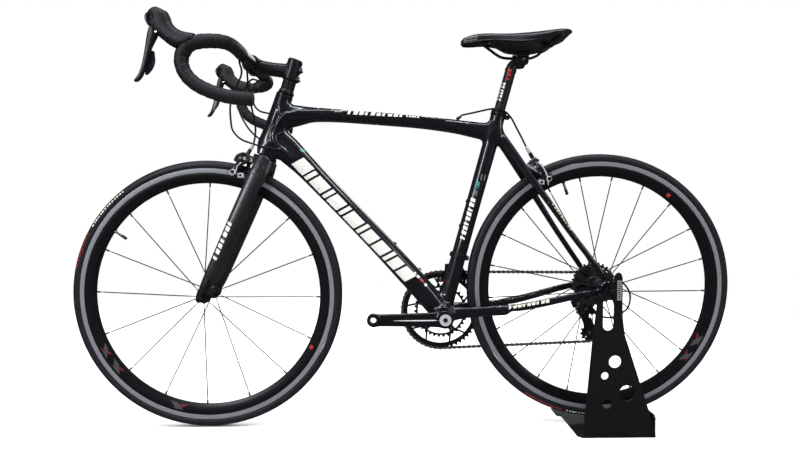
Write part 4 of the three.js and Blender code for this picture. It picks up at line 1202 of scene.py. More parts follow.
FRAME_PRINT = (
    ("top_tube_bars", WHITE_MARK, [((-141, 780), (0, 773), 9, 10), ((3, 774), (36, 771), 4, 5)]),
    ("top_tube_lines", GOLD_MARK, [((-172, 785), (-143, 785), 1.6, 1, 0.35, 0.0),
                                   ((40, 775), (76, 772), 1.6, 1, 0.35, 0.0)]),
    ("seat_tube_bars", WHITE_MARK, [(*on_seat(196, 304), 11, 9, 0.2)]),
    ("seat_tube_teal", TEAL_MARK, [(*on_seat(326, 344), 9, 3, 0.5)]),
    ("seat_tube_hatch", GREY_MARK, [(*on_seat(308, 323), 9, 4, 0.5, 0.55),
                                    (*on_seat(349, 373), 1.6, 1, 0.2, 0.0),
                                    (*on_seat(351, 373, (8, -2)), 1.6, 1, 0.2, 0.0)]),
    ("chainstay_bars", WHITE_MARK, [((254, 303), (352, 322), 8, 9)]),
    ("seatstay_bars", GOLD_MARK, [((356, 560), (402, 494), 4, 9, 0.2)]),
    ("down_tube_spot", TEAL_MARK, [((-258, 693), (-248, 684), 11, 1, 0.4, 0.0)]),
    ("down_tube_flag", WHITE_MARK, [((21, 389), (35, 374), 6, 2, 0.1),
                                    ((47, 361), (57, 350), 6, 1, 0.1)]),
    ("down_tube_flag_heart", RED_MARK, [((36, 373), (45, 363), 6, 1, 0.1, 0.0)]),
)


def print_rows(tree, side, runs):
    """Rows of bars, each (start, end, height, bars, slant, gap)."""
    shape = Shape()
    for run in runs:
        shape.add(bar_row(tree, side, *run))
    return shape


def add_frame():
    shell = piece("frame_shell", frame_shell(), LACQUER, "frame", "frame_paint", FRAME_NODES)
    tree = surface_of(shell)
    piece("frame_ends", both_sides(dropout), LACQUER, "frame", "frame_paint")
    piece("bottle_bosses", bottle_bosses(), ALLOY, "frame", "black_alloy")
    piece("cable_stops", cable_stops(), [LACQUER, DARK_METAL], "frame", "frame_paint")
    piece("bottom_bracket_cups", both_sides(bearing_cup), ALLOY, "frame", "black_alloy")

    for name, side in SIDES:
        piece(f"down_tube_bars_{name}", down_tube_bars(tree, side), WHITE_MARK, "frame", "frame_paint")
        for place, ink, runs in FRAME_PRINT:
            piece(f"{place}_{name}", print_rows(tree, side, runs), ink, "frame", "frame_paint")
        inner = print_rows(tree, -side, [((262, 308), (350, 326), 8, 9)])
        piece(f"chainstay_inner_bars_{name}", inner, GOLD_MARK, "frame", "frame_paint")
    spot = print_rows(tree, -1, [((99, 366), (115, 362), 5, 1, 0.2, 0.0)])
    piece("seat_tube_red_spot", spot, DIM_RED, "frame", "frame_paint")


add_frame()


# ---- Fork and headset ----
def fork_body():
    low = steer_at(HEAD_LENGTH + 30)
    crown = [(*steer_at(HEAD_LENGTH + t, -nose / 2), 2 * r + nose, 2 * r)
             for t, r, nose in ((0.4, 23, 11), (10, 23.4, 10.5), (22, 22.4, 7), (34, 19, 1))]
    tubes = [(crown, 2.0)]
    for _, side in SIDES:
        blade_line = [
            (low[0] + 8, 12, low[2] + 16, 42, 26), (low[0] - 3, 25, low[2] - 6, 46, 22),
            (-369, 33.5, 607, 42, 18.5),
            (-405, 42, 527, 38, 16.5), (-445, 49, 437, 33, 13.5), (-476, 53.2, 368, 29, 8.5),
            (-486, 53.3, 346, 25, 6),
        ]
        tubes.append((mirrored(blade_line, side), 2.2))
    return skin((-515, -64, 328), (-300, 64, 700), 1.7, tubes, fillet=11)


def fork_tip(side):
    """The metal end that hooks over the axle."""
    x, z = FRONT_AXLE
    outline = [(x - 12, z + 4), (x - 6, z + 22), (x + 14, z + 24), (x + 14, z + 2), (x + 11, z - 8),
               (x + 5, z - 12)]
    outline += [(x + 4.9, z)] + circle((x, z), 4.9, 8, 0.0, math.pi)[1:]
    outline += [(x - 4.9, z - 12), (x - 11, z - 8)]
    return side_slab(outline, side, 50.3, 56.0, bevel=0.8)


def tipped(profile, steps=48):
    """A profile of (radius, distance above the head tube) turned about the steering axis."""
    return placed(lathe(profile, steps), aimed(-DOWN, HEAD_TOP))


def headset():
    shape = Shape()
    shape.add(tipped([(15, 0.3), (19.2, 0.3), (19.5, 1.5), (18.4, 7.5), (17.2, 9.6), (15, 9.6)]))
    for low, high in ((9.9, 21.6), (21.9, 33.9)):
        shape.add(tipped([(15, low), (15.9, low), (16.3, low + 0.5), (16.3, high - 0.5), (15.9, high),
                          (15, high)]), 1)
    shape.add(tipped([(15, -166), (21.5, -166), (21.5, -156), (15, -156)]), 1)
    return shape


def add_fork():
    body = piece("fork_body", fork_body(), SATIN, "steering", "fork_satin", ["fork"])
    tree = surface_of(body)
    piece("fork_tips", both_sides(fork_tip), DARK_METAL, "steering", "dark_alloy")
    piece("headset_stack", headset(), [ALLOY, MATT_POST], "steering", "black_alloy", ["headset_spacers"])
    for name, side in SIDES:
        bars = bar_row(tree, side, (-452, 425), (-412, 520), 15, 7, 0.25)
        piece(f"fork_bars_{name}", bars, WHITE_MARK, "steering", "fork_satin")


add_fork()


# ---- Stem and handlebar ----
BEHIND = np.array((math.cos(HEAD_TILT), 0.0, -math.sin(HEAD_TILT)))
STEM_SCREWS = (-42.5, -66.0)


def stem_body():
    clamp = [(*steer_at(t), 36.6, 36.6) for t in (-35, -60, -84)]
    arm = [(-291, 0, 888, 34, 33), (-325, 0, 892, 32.5, 31), (-352, 0, 896.5, 33, 34),
           (-364, 0, 899, 37, 42)]
    lugs = []
    for t in STEM_SCREWS:
        root, tip = steer_at(t) + BEHIND * 14, steer_at(t) + BEHIND * 21.5
        lugs.append(([(*root, 15, 17), (*tip, 12.5, 16)], 3.2))
    drums = [(BAR_CENTRE, 21.4, -21, 21)]
    face_room = [([(-396, 0, 925, 50, 60), (-392, 0, 900, 50, 60), (-388, 0, 875, 50, 60)], 8.0)]
    cuts = [(BAR_CENTRE, 16.3, -40, 40)]
    return skin((-400, -32, 846), (-240, 32, 930), 1.15, [(clamp, 2.0), (arm, 2.4), *lugs], drums, cuts,
                face_room, fillet=5)


def faceplate():
    """The bar clamp's front half, open between its two arms."""
    x, z = BAR_CENTRE
    outer = circle((x, z), 21.5, 17, math.radians(93), math.radians(174))
    inner = circle((x, z), 16.3, 17, math.radians(267), math.radians(-174))
    shape = Shape()
    for low, high in ((-21, -8.5), (8.5, 21)):
        shape.add(slab(outer + inner, low, high, bevel=0.6))
    for start in (93, 225):
        outer = circle((x, z), 20.8, 6, math.radians(start), math.radians(42))
        inner = circle((x, z), 16.8, 6, math.radians(start + 42), math.radians(-42))
        shape.add(slab(outer + inner, -9, 9, bevel=0.5))
    return shape


def stem_screws():
    shape = Shape()
    x, z = BAR_CENTRE
    for up in (-1, 1):
        for y in (-14.5, 14.5):
            shape.add(bolt((x - 7.5, y, z + up * 18.5), (-1, 0, 0), 3.0, 3.0))
    for t in STEM_SCREWS:
        centre = steer_at(t) + BEHIND * 20.5
        shape.add(rod(centre + (0, -8.6, 0), centre + (0, 9.5, 0), 3.2, 16))
        shape.add(bolt(centre + (0, -8, 0), (0, -1, 0), 4.0, 3.0))
    return shape


def top_cap():
    up = -DOWN
    shape = Shape().add(tipped([(0, 83.8), (17.6, 83.8), (18.2, 84.4), (17.6, 86.6), (14, 87.4),
                                (0, 87.4)], 40))
    shape.add(bolt(HEAD_TOP + up * 87, up, 3.6, 1.4), 1)
    return shape


DROP = [
    (-374, 96.8, 901), (-374, 130, 901), (-378, 168, 900), (-388, 190, 898), (-403, 202, 895.5),
    (-428, 205, 893), (-449, 205, 886), (-463, 205, 866), (-464, 205, 846), (-455, 205, 825),
    (-435, 205, 806), (-404, 205, 791), (-373, 205, 782), (-322, 205, 776.2),
]
TAPE_R = 14.7
TAPE_WIDTH = 17.0


def tape_shape(side):
    """Bar tape: each turn laps over the one before, so the surface steps once round for each turn."""
    line = smooth_line(mirrored(DROP, side), 26)[:, :3]
    run = np.concatenate([[0], np.cumsum(np.linalg.norm(np.diff(line, axis=0), axis=1))])
    steps = np.linspace(0, run[-1], 620)
    line = np.column_stack([np.interp(steps, run, line[:, i]) for i in range(3)])
    sides = 40
    turns = np.arange(sides) / sides
    phase = (steps[:, None] / TAPE_WIDTH + side * turns[None, :]) % 1.0
    lap = np.clip(phase / 0.1, 0, 1) * (1 - phase) ** 0.7
    radii = TAPE_R - 0.75 + 0.95 * lap
    ends = np.minimum(steps, run[-1] - steps)[:, None]
    radii = radii - 1.4 * np.clip(1 - ends / 2.0, 0, 1) ** 2
    return sweep(line, radii, sides)


def bar_plug(side):
    """The plug in the open end of the bar."""
    end = np.array((-321.2, side * BAR_HALF, 776.1))
    profile = [(0, -6), (12.6, -6), (13.6, -0.4), (13.4, 1.2), (11.5, 2.0), (4, 2.2), (3.2, 1.4),
               (0, 1.4)]
    return placed(lathe(profile, 32), aimed((1, 0, -0.118), end))


def add_stem_and_bar():
    piece("stem_body", stem_body(), ALLOY, "steering", "black_alloy", ["stem"])
    piece("stem_faceplate_arms", faceplate(), ALLOY, "steering", "black_alloy", ["stem_faceplate"])
    piece("stem_screws", stem_screws(), SILVER, "steering", "dark_alloy")
    piece("stem_top_cap", top_cap(), [ALLOY, SILVER], "steering", "black_alloy")
    x, z = BAR_CENTRE
    middle = [(-96.4, 13.2), (-80, 13.4), (-62, 14.6), (-44, 15.8), (44, 15.8), (62, 14.6), (80, 13.4),
              (96.4, 13.2)]
    profile = [(0, -96.4)] + [(r, y) for y, r in middle] + [(0, 96.4)]
    piece("bar_middle", lathe(profile, 40, (x, 0, z)), ALLOY, "steering", "black_alloy", ["handlebar"])
    for name, side in SIDES:
        piece(f"tape_{name}", tape_shape(side), TAPE, "steering", "bar_tape", [f"bar_tape_{name}"],
              angle=math.radians(60))
        piece(f"bar_plug_{name}", bar_plug(side), MOULDED, "steering", "bar_tape")
        band = [(TAPE_R - 0.6, -1), (TAPE_R + 0.25, -0.6), (TAPE_R + 0.25, 13), (TAPE_R - 0.6, 13.4)]
        piece(f"tape_end_band_{name}", placed(lathe(band, 40), aimed((0, side, 0), (x, side * 96.8, z))),
              MOULDED,
              "steering", "bar_tape")


add_stem_and_bar()


# ---- Brake and shift levers ----
HOOD = [
    (-436, 892.5, 32.5, 33.5), (-452, 893.5, 35, 34), (-466, 895.5, 37.5, 33), (-478, 901, 37, 31.5),
    (-489, 909.5, 36.5, 30.5), (-498.5, 919, 40, 30), (-505.5, 929.5, 46, 30), (-508.5, 940.5, 48, 29.5),
    (-506, 950, 42, 27), (-503, 957, 27, 17),
]
LEVER_BLADE = [
    (-521, 919, 14, 20), (-522, 908, 19, 19), (-526, 896, 17, 16), (-530.5, 882, 13.5, 12),
    (-535.5, 864, 10.5, 10.5), (-540, 846, 9.5, 10.5), (-545.5, 830, 9, 10.5), (-551, 820, 8.5, 10.5),
    (-556.5, 814.5, 7.5, 9.5), (-560.5, 812.5, 4.5, 7),
]
PADDLE = [
    (-526, 876, 6, 5.5), (-528.5, 867, 12.5, 5.5), (-530.5, 855, 16.5, 5), (-533.5, 844, 15, 4.6),
    (-538, 834, 10, 4.2), (-542, 827.5, 4.5, 3.4),
]


def hood_shape(side):
    y = BAR_HALF
    tubes = [([(x, side * y, z, deep, wide) for x, z, deep, wide in HOOD], 2.3)]
    bar = [(x, side * y_at, z, 31.5, 31.5) for x, y_at, z in DROP[4:10]]
    front = [(-560, side * y, 906, 44, 60), (-541, side * y, 896, 34, 60), (-524, side * y, 884, 22, 60)]
    low, high = sorted((side * (y - 40), side * (y + 40)))
    return skin((-532, low, 862), (-416, high, 966), 1.35, tubes, (), (), [(bar, 2.0), (front, 6.0)],
                fillet=5,
                edge=2.0)


def hood_plate(side):
    """The metal name plate's plain cover at the hood's nose, and the lever's pivot pin."""
    y = side * BAR_HALF
    shape = Shape()
    plate = [(-526, y, 949.5, 7, 15), (-531.3, y, 943, 8, 18), (-530.6, y, 934, 8, 19),
             (-527, y, 926, 7, 17)]
    shape.add(spine(plate, 20, 3.0))
    pin = np.array((-509.5, y, 907.5))
    shape.add(rod(pin - (0, 15.6, 0), pin + (0, 15.6, 0), 2.2, 14), 1)
    return shape


def add_shifters():
    for name, side in SIDES:
        y = side * BAR_HALF
        piece(f"hood_rubber_{name}", hood_shape(side), RUBBER, "steering", "hood_rubber",
              [f"hood_{name}"])
        piece(f"hood_plate_{name}", hood_plate(side), [ALLOY, SILVER], "steering", "lever_grey")
        blade_shape = spine([(x, y, z, deep, wide) for x, z, deep, wide in LEVER_BLADE], 28, 2.8, 8)
        piece(f"lever_blade_{name}", blade_shape, LEVER_BLACK, f"brake_lever_{name}", "lever_grey",
              [f"brake_lever_{name}"])
        paddle = spine([(x, side * (BAR_HALF - 9.5), z, deep, wide) for x, z, deep, wide in PADDLE], 24,
                       2.6, 8)
        piece(f"paddle_{name}", paddle, LEVER, f"shift_paddle_{name}", "lever_grey",
              [f"shift_paddle_{name}"])


add_shifters()


# ---- Seat ----
def along_seat(profile, t, steps=44):
    """A profile of (radius, height) turned about the seat tube, t above the bottom bracket."""
    return placed(lathe(profile, steps), aimed(SEAT_UP, seat_at(t)))


def seat_collar():
    shape = Shape()
    shape.add(along_seat([(14.1, 0.4), (18.8, 0.4), (19.6, 1.4), (19.6, 4.8), (19.1, 5.4), (19.1, 6.2),
                          (19.6, 6.8),
                          (19.6, 11.8), (18.8, 12.9), (14.1, 12.9)], 516))
    back = np.array((SEAT_UP[2], 0, -SEAT_UP[0]))
    for y in (-4.6, 4.6):
        foot = seat_at(518.4) + back * 17.5 + (0, y, 0)
        shape.add(spine([(*foot, 8, 6.6), (*(foot + back * 6), 8.6, 6.6), (*(foot + back * 11.5), 6, 6)],
                        16, 4))
    screw = seat_at(522.5) + back * 24.5
    shape.add(rod(screw - (0, 9.5, 0), screw + (0, 8.5, 0), 2.5, 14), 1)
    shape.add(bolt(screw - (0, 8.5, 0), (0, -1, 0), 3.4, 3.2), 1)
    return shape


def post_shape():
    line = [(*seat_at(t), 27.2, 27.2) for t in (384, 470, 560, 636)]
    head = [(*seat_at(632), 26.4, 26.6), (268.5, 0, 904.5, 25, 26), (277.5, 0, 911.5, 19, 26),
            (287, 0, 912.5, 17, 25)]
    x, z = 289, 913
    return skin((170, -18, 640), (306, 18, 930), 1.3, [(line, 2.0), (head, 2.4)],
                [((x, z), 10.4, -13.8, 13.8)],
                [((x, z), 4.2, -20, 20)], fillet=4)


def clamp_shape():
    """Two cheeks on the post's barrel, and the yokes over the rails."""
    shape = Shape()
    cheek = rounded([(277, 904), (289, 900.5), (302, 904), (305, 916), (303, 932), (289, 934.5),
                     (275, 932), (273.5, 917)])
    for _, side in SIDES:
        roof = [(272.5, 932.4), (305.5, 932.4), (304.5, 936.4), (301, 938.6), (277, 938.6),
                (273.5, 936.4)]
        cradle = [(275.5, 920), (302.5, 920), (304, 924.6), (274, 924.6)]
        shape.add(side_slab(cheek, side, 14.4, 18.2, [circle((289, 913), 3.1, 14)], bevel=0.9))
        shape.add(side_slab(roof, side, 16.5, 28, bevel=0.8))
        shape.add(side_slab(cradle, side, 18, 27.5, bevel=0.8))
        shape.add(bolt((289, side * 27.6, 913), (0, side, 0), 3.9, 2.6), 1)
    shape.add(rod((289, -18.5, 913), (289, 18.5, 913), 3.0, 16), 1)
    shape.add(slab([(274, 932), (304, 932), (303, 937), (275, 937)], -17, 17, bevel=0.8))
    return shape


RAIL_HALF = [
    (366, 39, 962), (353, 36, 951), (342, 33, 941), (332, 29.4, 935), (321, 25.6, 930.6),
    (308, 22.6, 928.6), (288, 22, 928.6), (262, 22, 928.6), (246, 22, 931), (232, 21.6, 938),
    (216, 19, 948.5), (204, 14, 955),
]


def rails_shape():
    loop = [*RAIL_HALF, (194, 0, 957.5), *mirrored(RAIL_HALF, -1)[::-1]]
    return cable(loop, 3.5, 16, 5)


SADDLE_SECTIONS = [
    (139.2, 963, 960.5, 957.5, 958, 7), (145, 969, 962.5, 954.5, 956.5, 13),
    (157, 974, 964.5, 954.5, 957.5, 17), (172, 977.5, 965.5, 956, 959.5, 20),
    (190, 979.5, 966, 958, 962, 22.5), (210, 979.5, 966, 958.5, 963.5, 26),
    (235, 977.5, 964, 956.5, 962, 33), (265, 976, 960, 951.5, 959, 44), (290, 976, 957.5, 949, 958.5, 54),
    (312, 976.5, 957.5, 950, 959.5, 61), (335, 978, 961, 955, 962, 65), (355, 979.5, 966, 960, 966, 66),
    (372, 981, 970, 964.5, 969, 64), (388, 981.5, 973.5, 970, 973, 57), (399, 980.5, 975.5, 973, 975, 47),
    (405, 977.5, 976, 974.6, 975.4, 36),
]
CHANNEL = [(236, 0.0), (265, 1.2), (340, 2.0), (392, 1.4), (411, 0.3)]


def saddle_section(x, top, side_z, wing, under, w):
    dip = np.interp(x, *zip(*CHANNEL)) if x > CHANNEL[0][0] else 0.0
    upper = [
        (w * 0.985, (side_z + wing) / 2), (w, side_z), (w * 0.955, side_z + (top - side_z) * 0.42),
        (w * 0.8, side_z + (top - side_z) * 0.76), (w * 0.5, side_z + (top - side_z) * 0.97),
        (w * 0.17, top + 0.2 - dip * 0.5),
    ]
    lower = [(w * 0.55, under), (w * 0.86, wing + (under - wing) * 0.25), (w * 0.965, wing + 0.4)]
    ring = [(x, y, z) for y, z in upper] + [(x, 0, top - dip)] + [(x, -y, z) for y, z in upper[::-1]]
    ring += [(x, -y, z) for y, z in lower[::-1]] + [(x, 0, under)] + [(x, y, z) for y, z in lower]
    return smooth_line(ring, 4, cyclic=True)


def saddle_shape():
    rings = np.array([saddle_section(*s) for s in SADDLE_SECTIONS])
    columns = [smooth_line(rings[:, i], 6) for i in range(rings.shape[1])]
    return loft(np.array(columns).transpose(1, 0, 2))


def saddle_base():
    """The hard shell below the cover: the rim of its lower edge, and the rails' two sockets."""
    shape = Shape()
    for _, side in SIDES:
        edge = [(x, side * w * 0.94, wing + 0.8, 4.4, 5.2) for x, _, _, wing, _,
                w in SADDLE_SECTIONS[1:-2]]
        shape.add(spine(edge, 14, 2.4, 5))
        socket = [(352, side * 35.6, 951, 10, 11), (364, side * 38.6, 959, 12, 14),
                  (374, side * 41, 966, 10, 18)]
        shape.add(spine(socket, 16, 2.8))
    shape.add(spine([(180, 0, 960, 6, 20), (193, 0, 958.6, 8, 26), (206, 0, 961, 6, 24)], 18, 2.8))
    return shape


def saddle_patch(tree):
    """Three thin plain lines on the nose's left side."""
    rows = (((150, 967.5), (192, 971), 1.0), ((147, 963.5), (197, 967.5), 0.8),
            ((149, 959.5), (194, 962), 1.0))
    return print_rows(tree, -1, [(*row, 1, 0.4, 0.0) for row in rows])


def add_seat():
    piece("seat_collar_ring", seat_collar(), [ALLOY, SILVER], "frame", "black_alloy", ["seat_collar"])
    post = piece("post", post_shape(), MATT_POST, "seatpost", "post_black", ["seatpost"])
    tree = surface_of(post)
    spots = [(604, 634, 9, 3, 1.5, RED_MARK, "red"), (553, 600, 11, 6, -5.5, WHITE_MARK, "white")]
    for name, side in SIDES:
        for low, high, height, bars, shift, ink, word in spots:
            start, end = (seat_at(t)[[0, 2]] + (shift, 0) for t in (low, high))
            piece(f"post_{word}_{name}", bar_row(tree, side, start, end, height, bars, 0.2), ink,
                  "seatpost",
                  "post_black")
    piece("clamp", clamp_shape(), [ALLOY, SILVER], "saddle", "black_alloy", ["saddle_clamp"])
    piece("rails", rails_shape(), DARK_METAL, "saddle", "rail_steel", ["saddle_rails"])
    cover = piece("saddle_cover", saddle_shape(), SADDLE_SKIN, "saddle", "saddle_cover", ["saddle"],
                  angle=math.radians(60))
    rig.padded(cover, 0.9)
    piece("saddle_base", saddle_base(), SADDLE_EDGE, "saddle", "saddle_cover")
    piece("saddle_print", saddle_patch(surface_of(cover)), GREY_MARK, "saddle", "saddle_cover")


add_seat()


# ---- Rim brakes ----
ARM_OUTLINE = [
    (343, 2), (349, -4.6), (357, -6), (363, -1), (363.6, 8), (361, 17), (353, 26.5), (343, 33), (331, 35),
    (317, 33), (304, 29.6), (303, 27), (303.4, 20), (306, 19.2), (316, 20.6), (328, 24.4), (336, 24),
    (343, 18.5), (346, 9),
]
ARM_THICK = 8.0
FRONT_BRAKE_ANGLE = math.radians(74.5)
REAR_BRAKE_ANGLE = math.radians(117.5)


def across_rim(axle, angle):
    """Places a shape whose X is away from the axle, Z across the wheel and Y back along the rim."""
    radial = np.array((math.cos(angle), 0, math.sin(angle)))
    across = np.array((0, 1, 0))
    return basis(radial, np.cross(across, radial), across, (axle[0], 0, axle[1]))


def brake_arm(side, layer_sign, outer):
    """One dual-pivot arm with its pad; outer is where the arms' free faces are seen."""
    low = -layer_sign * 0.3 - (ARM_THICK if layer_sign > 0 else 0)
    high = low + ARM_THICK
    middle = (low + high) / 2
    shape = Shape()
    outline = rounded([(r, side * y) for r, y in ARM_OUTLINE], 3)
    shape.add(slab(outline, low, high, [circle((323, side * 29), 2.6, 12)], bevel=1.5))
    face = high if outer > 0 else low
    rib = rounded([(r, side * y) for r, y in ((356, 12), (349, 24), (338, 30), (322, 30.5), (322, 27),
                                              (338, 26), (347, 20),
                                              (352, 10))], 4)
    shape.add(slab(rib, *sorted((face - 0.6 * outer, face + 0.9 * outer)), bevel=0.5))
    shape.add(bolt((323, face, side * 29), (0, outer, 0), 4.6, 2.6), 1)
    shape.add(bolt((355, face, side * 1.5), (0, outer, 0), 5.4, 3.4), 1)
    holder = [(302.8, side * 21.4), (313, side * 21.4), (313.6, side * 16.4), (302.6, side * 16.4)]
    shape.add(slab(holder, middle - 23, middle + 23, bevel=1.2), 1)
    shape.add(box_between((312, middle - 5, side * 17), (326, middle + 5, side * 23.4)), 0)
    pad = [(303.6, side * 12), (313, side * 12), (313.2, side * 16.8), (303.4, side * 16.8)]
    shape.add(slab(pad, middle - 25, middle + 25, bevel=1.0), 2)
    return shape, middle, face


def box_between(a, b, bevel=0.8):
    lo, hi = np.minimum(a, b), np.maximum(a, b)
    return box(lo, hi, bevel)


ADJUSTERS = {
    "front": ((-388.5, -10, 681), (-379.5, -10, 695), (-372.5, -10, 706)),
    "rear": ((319.5, -10, 674), (311.5, -10, 687.5), (302, -10, 703)),
}
OUTER_ARMS = {
    "front": [(-378, -6, 668, 22, 15), (-391, -16, 668.5, 20, 13), (-402, -25, 659, 16, 10),
              (-411, -30, 647, 14, 9),
              (-416.5, -31.5, 638, 15, 8)],
    "rear": [(307, -6, 653, 25, 15), (322, -16, 649, 24, 13), (337, -26, 638, 20, 11),
             (348, -30.5, 628, 17, 9),
             (353, -31.5, 622, 15, 8)],
}
SHOULDERS = {
    "front": [(-384, -8, 675, 16, 14), (-397, -12, 680, 15, 13), (-408, -16, 676, 13, 12),
              (-413, -21, 665, 11, 10)],
    "rear": [(311, -8, 661, 17, 14), (323, -12, 661, 16, 13), (335, -17, 653, 14, 12),
             (343, -22, 642, 12, 10)],
}
RELEASE_LEVERS = {
    "front": [(-397, -31, 661, 3.4, 3), (-404.5, -34, 653, 2.8, 3), (-407.5, -36, 643, 2.6, 3),
              (-410, -36.5, 632, 2.4, 3)],
    "rear": [(329, -22, 664, 3.4, 3), (341, -30, 647, 2.8, 3), (347.5, -35, 630, 2.6, 3),
             (351, -36, 607, 2.4, 3)],
}


def caliper_front(end):
    """The near arm's outer web, shoulder, cam lever, pad bolts and the cable's barrel adjuster."""
    low, mid, high = (np.array(p, float) for p in ADJUSTERS[end])
    black, bright = (rod(low, mid, 5.0, 18, 1.0), rod(mid, high, 4.4, 18, 1.8))
    shape = Shape()
    if end == "rear":
        shape.add(black).add(bright, 1)
    else:
        shape.add(bright, 1).add(rod(low, mid, 4.8, 18, 0.8))
    shape.add(spine(OUTER_ARMS[end], 22, 2.6))
    shape.add(spine(SHOULDERS[end], 20, 2.4))
    shape.add(spine(RELEASE_LEVERS[end], 12, 2.2), 1)
    eye = np.array(OUTER_ARMS[end][-1][:3])
    shape.add(rod(eye + (0, 1, 0), eye + (0, -5.5, 0), 6.6, 24, 0.8), 1)
    shape.add(bolt(eye + (0, -5, 0), (0, -1, 0), 4.4, 2.6), 0)
    root = np.array(OUTER_ARMS[end][0][:3])
    shape.add(bolt(root + (0, -7.5, 0), (0, -1, 0), 4.6, 2.6), 1)
    shape.add(bolt(np.array(OUTER_ARMS[end][1][:3]) + (0, -6.5, 2), (0, -1, 0), 3.0, 2.4), 1)
    back = 1 if end == "front" else -1
    block = eye + np.array((back * 17, 4, -8))
    shape.add(box_between(block - (7, 3.5, 5.5), block + (7, 5, 5.5)), 1)
    shape.add(bolt(block + (0, -3, 0), (0, -1, 0), 3.2, 1.8), 0)
    return shape


def add_brakes():
    for end, axle, angle, outer in (("front", FRONT_AXLE, FRONT_BRAKE_ANGLE, -1),
                                    ("rear", REAR_AXLE, REAR_BRAKE_ANGLE, 1)):
        place = across_rim(axle, angle)
        for name, side in SIDES:
            layer_sign = 1 if side < 0 else -1
            own_outer = outer if (layer_sign < 0) == (outer > 0) else -layer_sign
            shape, middle, face = brake_arm(side, layer_sign, own_outer)
            built = Shape().add(placed(shape, place), shape.paint)
            body = f"{end}_brake_arm_{name}"
            piece(f"{end}_caliper_{name}", built, [CALIPER, SILVER, PAD_RUBBER], body, "dark_alloy",
                  [body])
            if side < 0:
                piece(f"{end}_caliper_front", caliper_front(end), [CALIPER, BRIGHT_DISC], body,
                      "dark_alloy")


add_brakes()


# ---- Skewers ----
def skewer_shape(axle, end_y, head_depth, neck):
    head = end_y + 5
    outer = -head - head_depth
    profile = [
        (0, outer), (5.5, outer), (7.4, outer + 1.2), (8, outer + 3), (8, outer + 7.6),
        (7.2, outer + 8.3),
        (neck, outer + 8.6), (neck, -head - 3.4), (7.2, -head - 3), (8, -head - 2.4), (8, -head - 0.3),
        (2.5, -head - 0.3),
        (2.5, head + 0.3), (8.6, head + 0.3), (9, head + 0.8), (9, head + 3), (8.4, head + 3.4),
        (9, head + 3.8),
        (9, head + 6), (7.4, head + 8), (5.2, head + 12.6), (3, head + 13), (0, head + 13),
    ]
    return lathe(profile, 36, (axle[0], 0, axle[1]))


def quick_lever(axle, y, rise):
    """A flat curved lever on its cam, thin at the neck and broad at the blade."""
    x, z = axle
    stations = [
        (x - 0.05 * rise[0], y + 0.6, z + 7.5, 6, 6), (x - 0.2 * rise[0], y, z + 11, 5.4, 8),
        (x - 0.34 * rise[0], y - 0.8, z + 18, 4.2, 10.4), (x - 0.55 * rise[0], y - 1.6,
                                                           z + 0.56 * rise[1], 3.8, 11.6),
        (x - 0.78 * rise[0], y - 1.9, z + 0.78 * rise[1], 3.8, 11.4),
        (x - rise[0], y - 1, z + rise[1], 3.4, 8),
    ]
    return spine([(px, py, pz, wide, deep) for px, py, pz, deep, wide in stations], 22, 2.8, 6)


def add_skewers():
    piece("rear_skewer_rod", skewer_shape(REAR_AXLE, 65, 27, 3.9), DARK_METAL, "rear_skewer",
          "dark_alloy",
          ["rear_skewer"])
    piece("rear_lever", quick_lever(REAR_AXLE, -91, (10, 48)), LEVER_BLACK, "rear_quick_release_lever",
          "lever_black",
          ["rear_quick_release_lever"])
    piece("front_skewer_rod", skewer_shape(FRONT_AXLE, 51.1, 13.2, 4.4), DARK_METAL, "steering",
          "dark_alloy",
          ["front_skewer"])
    piece("front_lever", quick_lever(FRONT_AXLE, -64, (-20, 46)), LEVER_BLACK,
          "front_quick_release_lever",
          "lever_black", ["front_quick_release_lever"])


add_skewers()


# ---- Belt line of the chain ----
def pitch_radius(teeth):
    return PITCH / (2 * math.sin(math.pi / teeth))


def belt_line(circles, step):
    """The tangent line round circles (x, z, radius, turn), finely sampled."""
    tangents = []
    for i, (x0, z0, r0, t0) in enumerate(circles):
        x1, z1, r1, t1 = circles[(i + 1) % len(circles)]
        heading = math.atan2(z1 - z0, x1 - x0)
        lean = math.asin((t0 * r0 - t1 * r1) / math.hypot(x1 - x0, z1 - z0))
        n = heading + lean - math.pi / 2
        leave = (x0 + t0 * r0 * math.cos(n), z0 + t0 * r0 * math.sin(n))
        tangents.append((leave, (x1 + t1 * r1 * math.cos(n), z1 + t1 * r1 * math.sin(n))))
    line = []
    for i, (x, z, r, turn) in enumerate(circles):
        arrive, leave = tangents[i - 1][1], tangents[i][0]
        start = math.atan2(arrive[1] - z, arrive[0] - x)
        run = math.atan2(leave[1] - z, leave[0] - x) - start
        while run * turn < 0:
            run += turn * 2 * math.pi
        while abs(run) > 2 * math.pi:
            run -= turn * 2 * math.pi
        count = max(2, math.ceil(abs(run) / step))
        line += [(x + r * math.cos(start + run * k / count), z + r * math.sin(start + run * k / count))
                 for k in range(count + 1)]
    return line


def chain_pins():
    course = belt_line([
        (*BB, pitch_radius(OUTER_TEETH), 1), (*LOWER_PULLEY, pitch_radius(PULLEY_TEETH), 1),
        (*UPPER_PULLEY, pitch_radius(PULLEY_TEETH), -1), (*REAR_AXLE, pitch_radius(RUNNING_COG), 1),
    ], math.pi / 60)
    course = np.array(course + course[:1])
    run = np.concatenate([[0], np.cumsum(np.linalg.norm(np.diff(course, axis=0), axis=1))])
    count = 2 * round(run[-1] / PITCH / 2)
    at = np.linspace(0, run[-1], count, endpoint=False)
    return np.column_stack([np.interp(at, run, course[:, 0]), np.interp(at, run, course[:, 1])])


CHAIN_PINS = chain_pins()


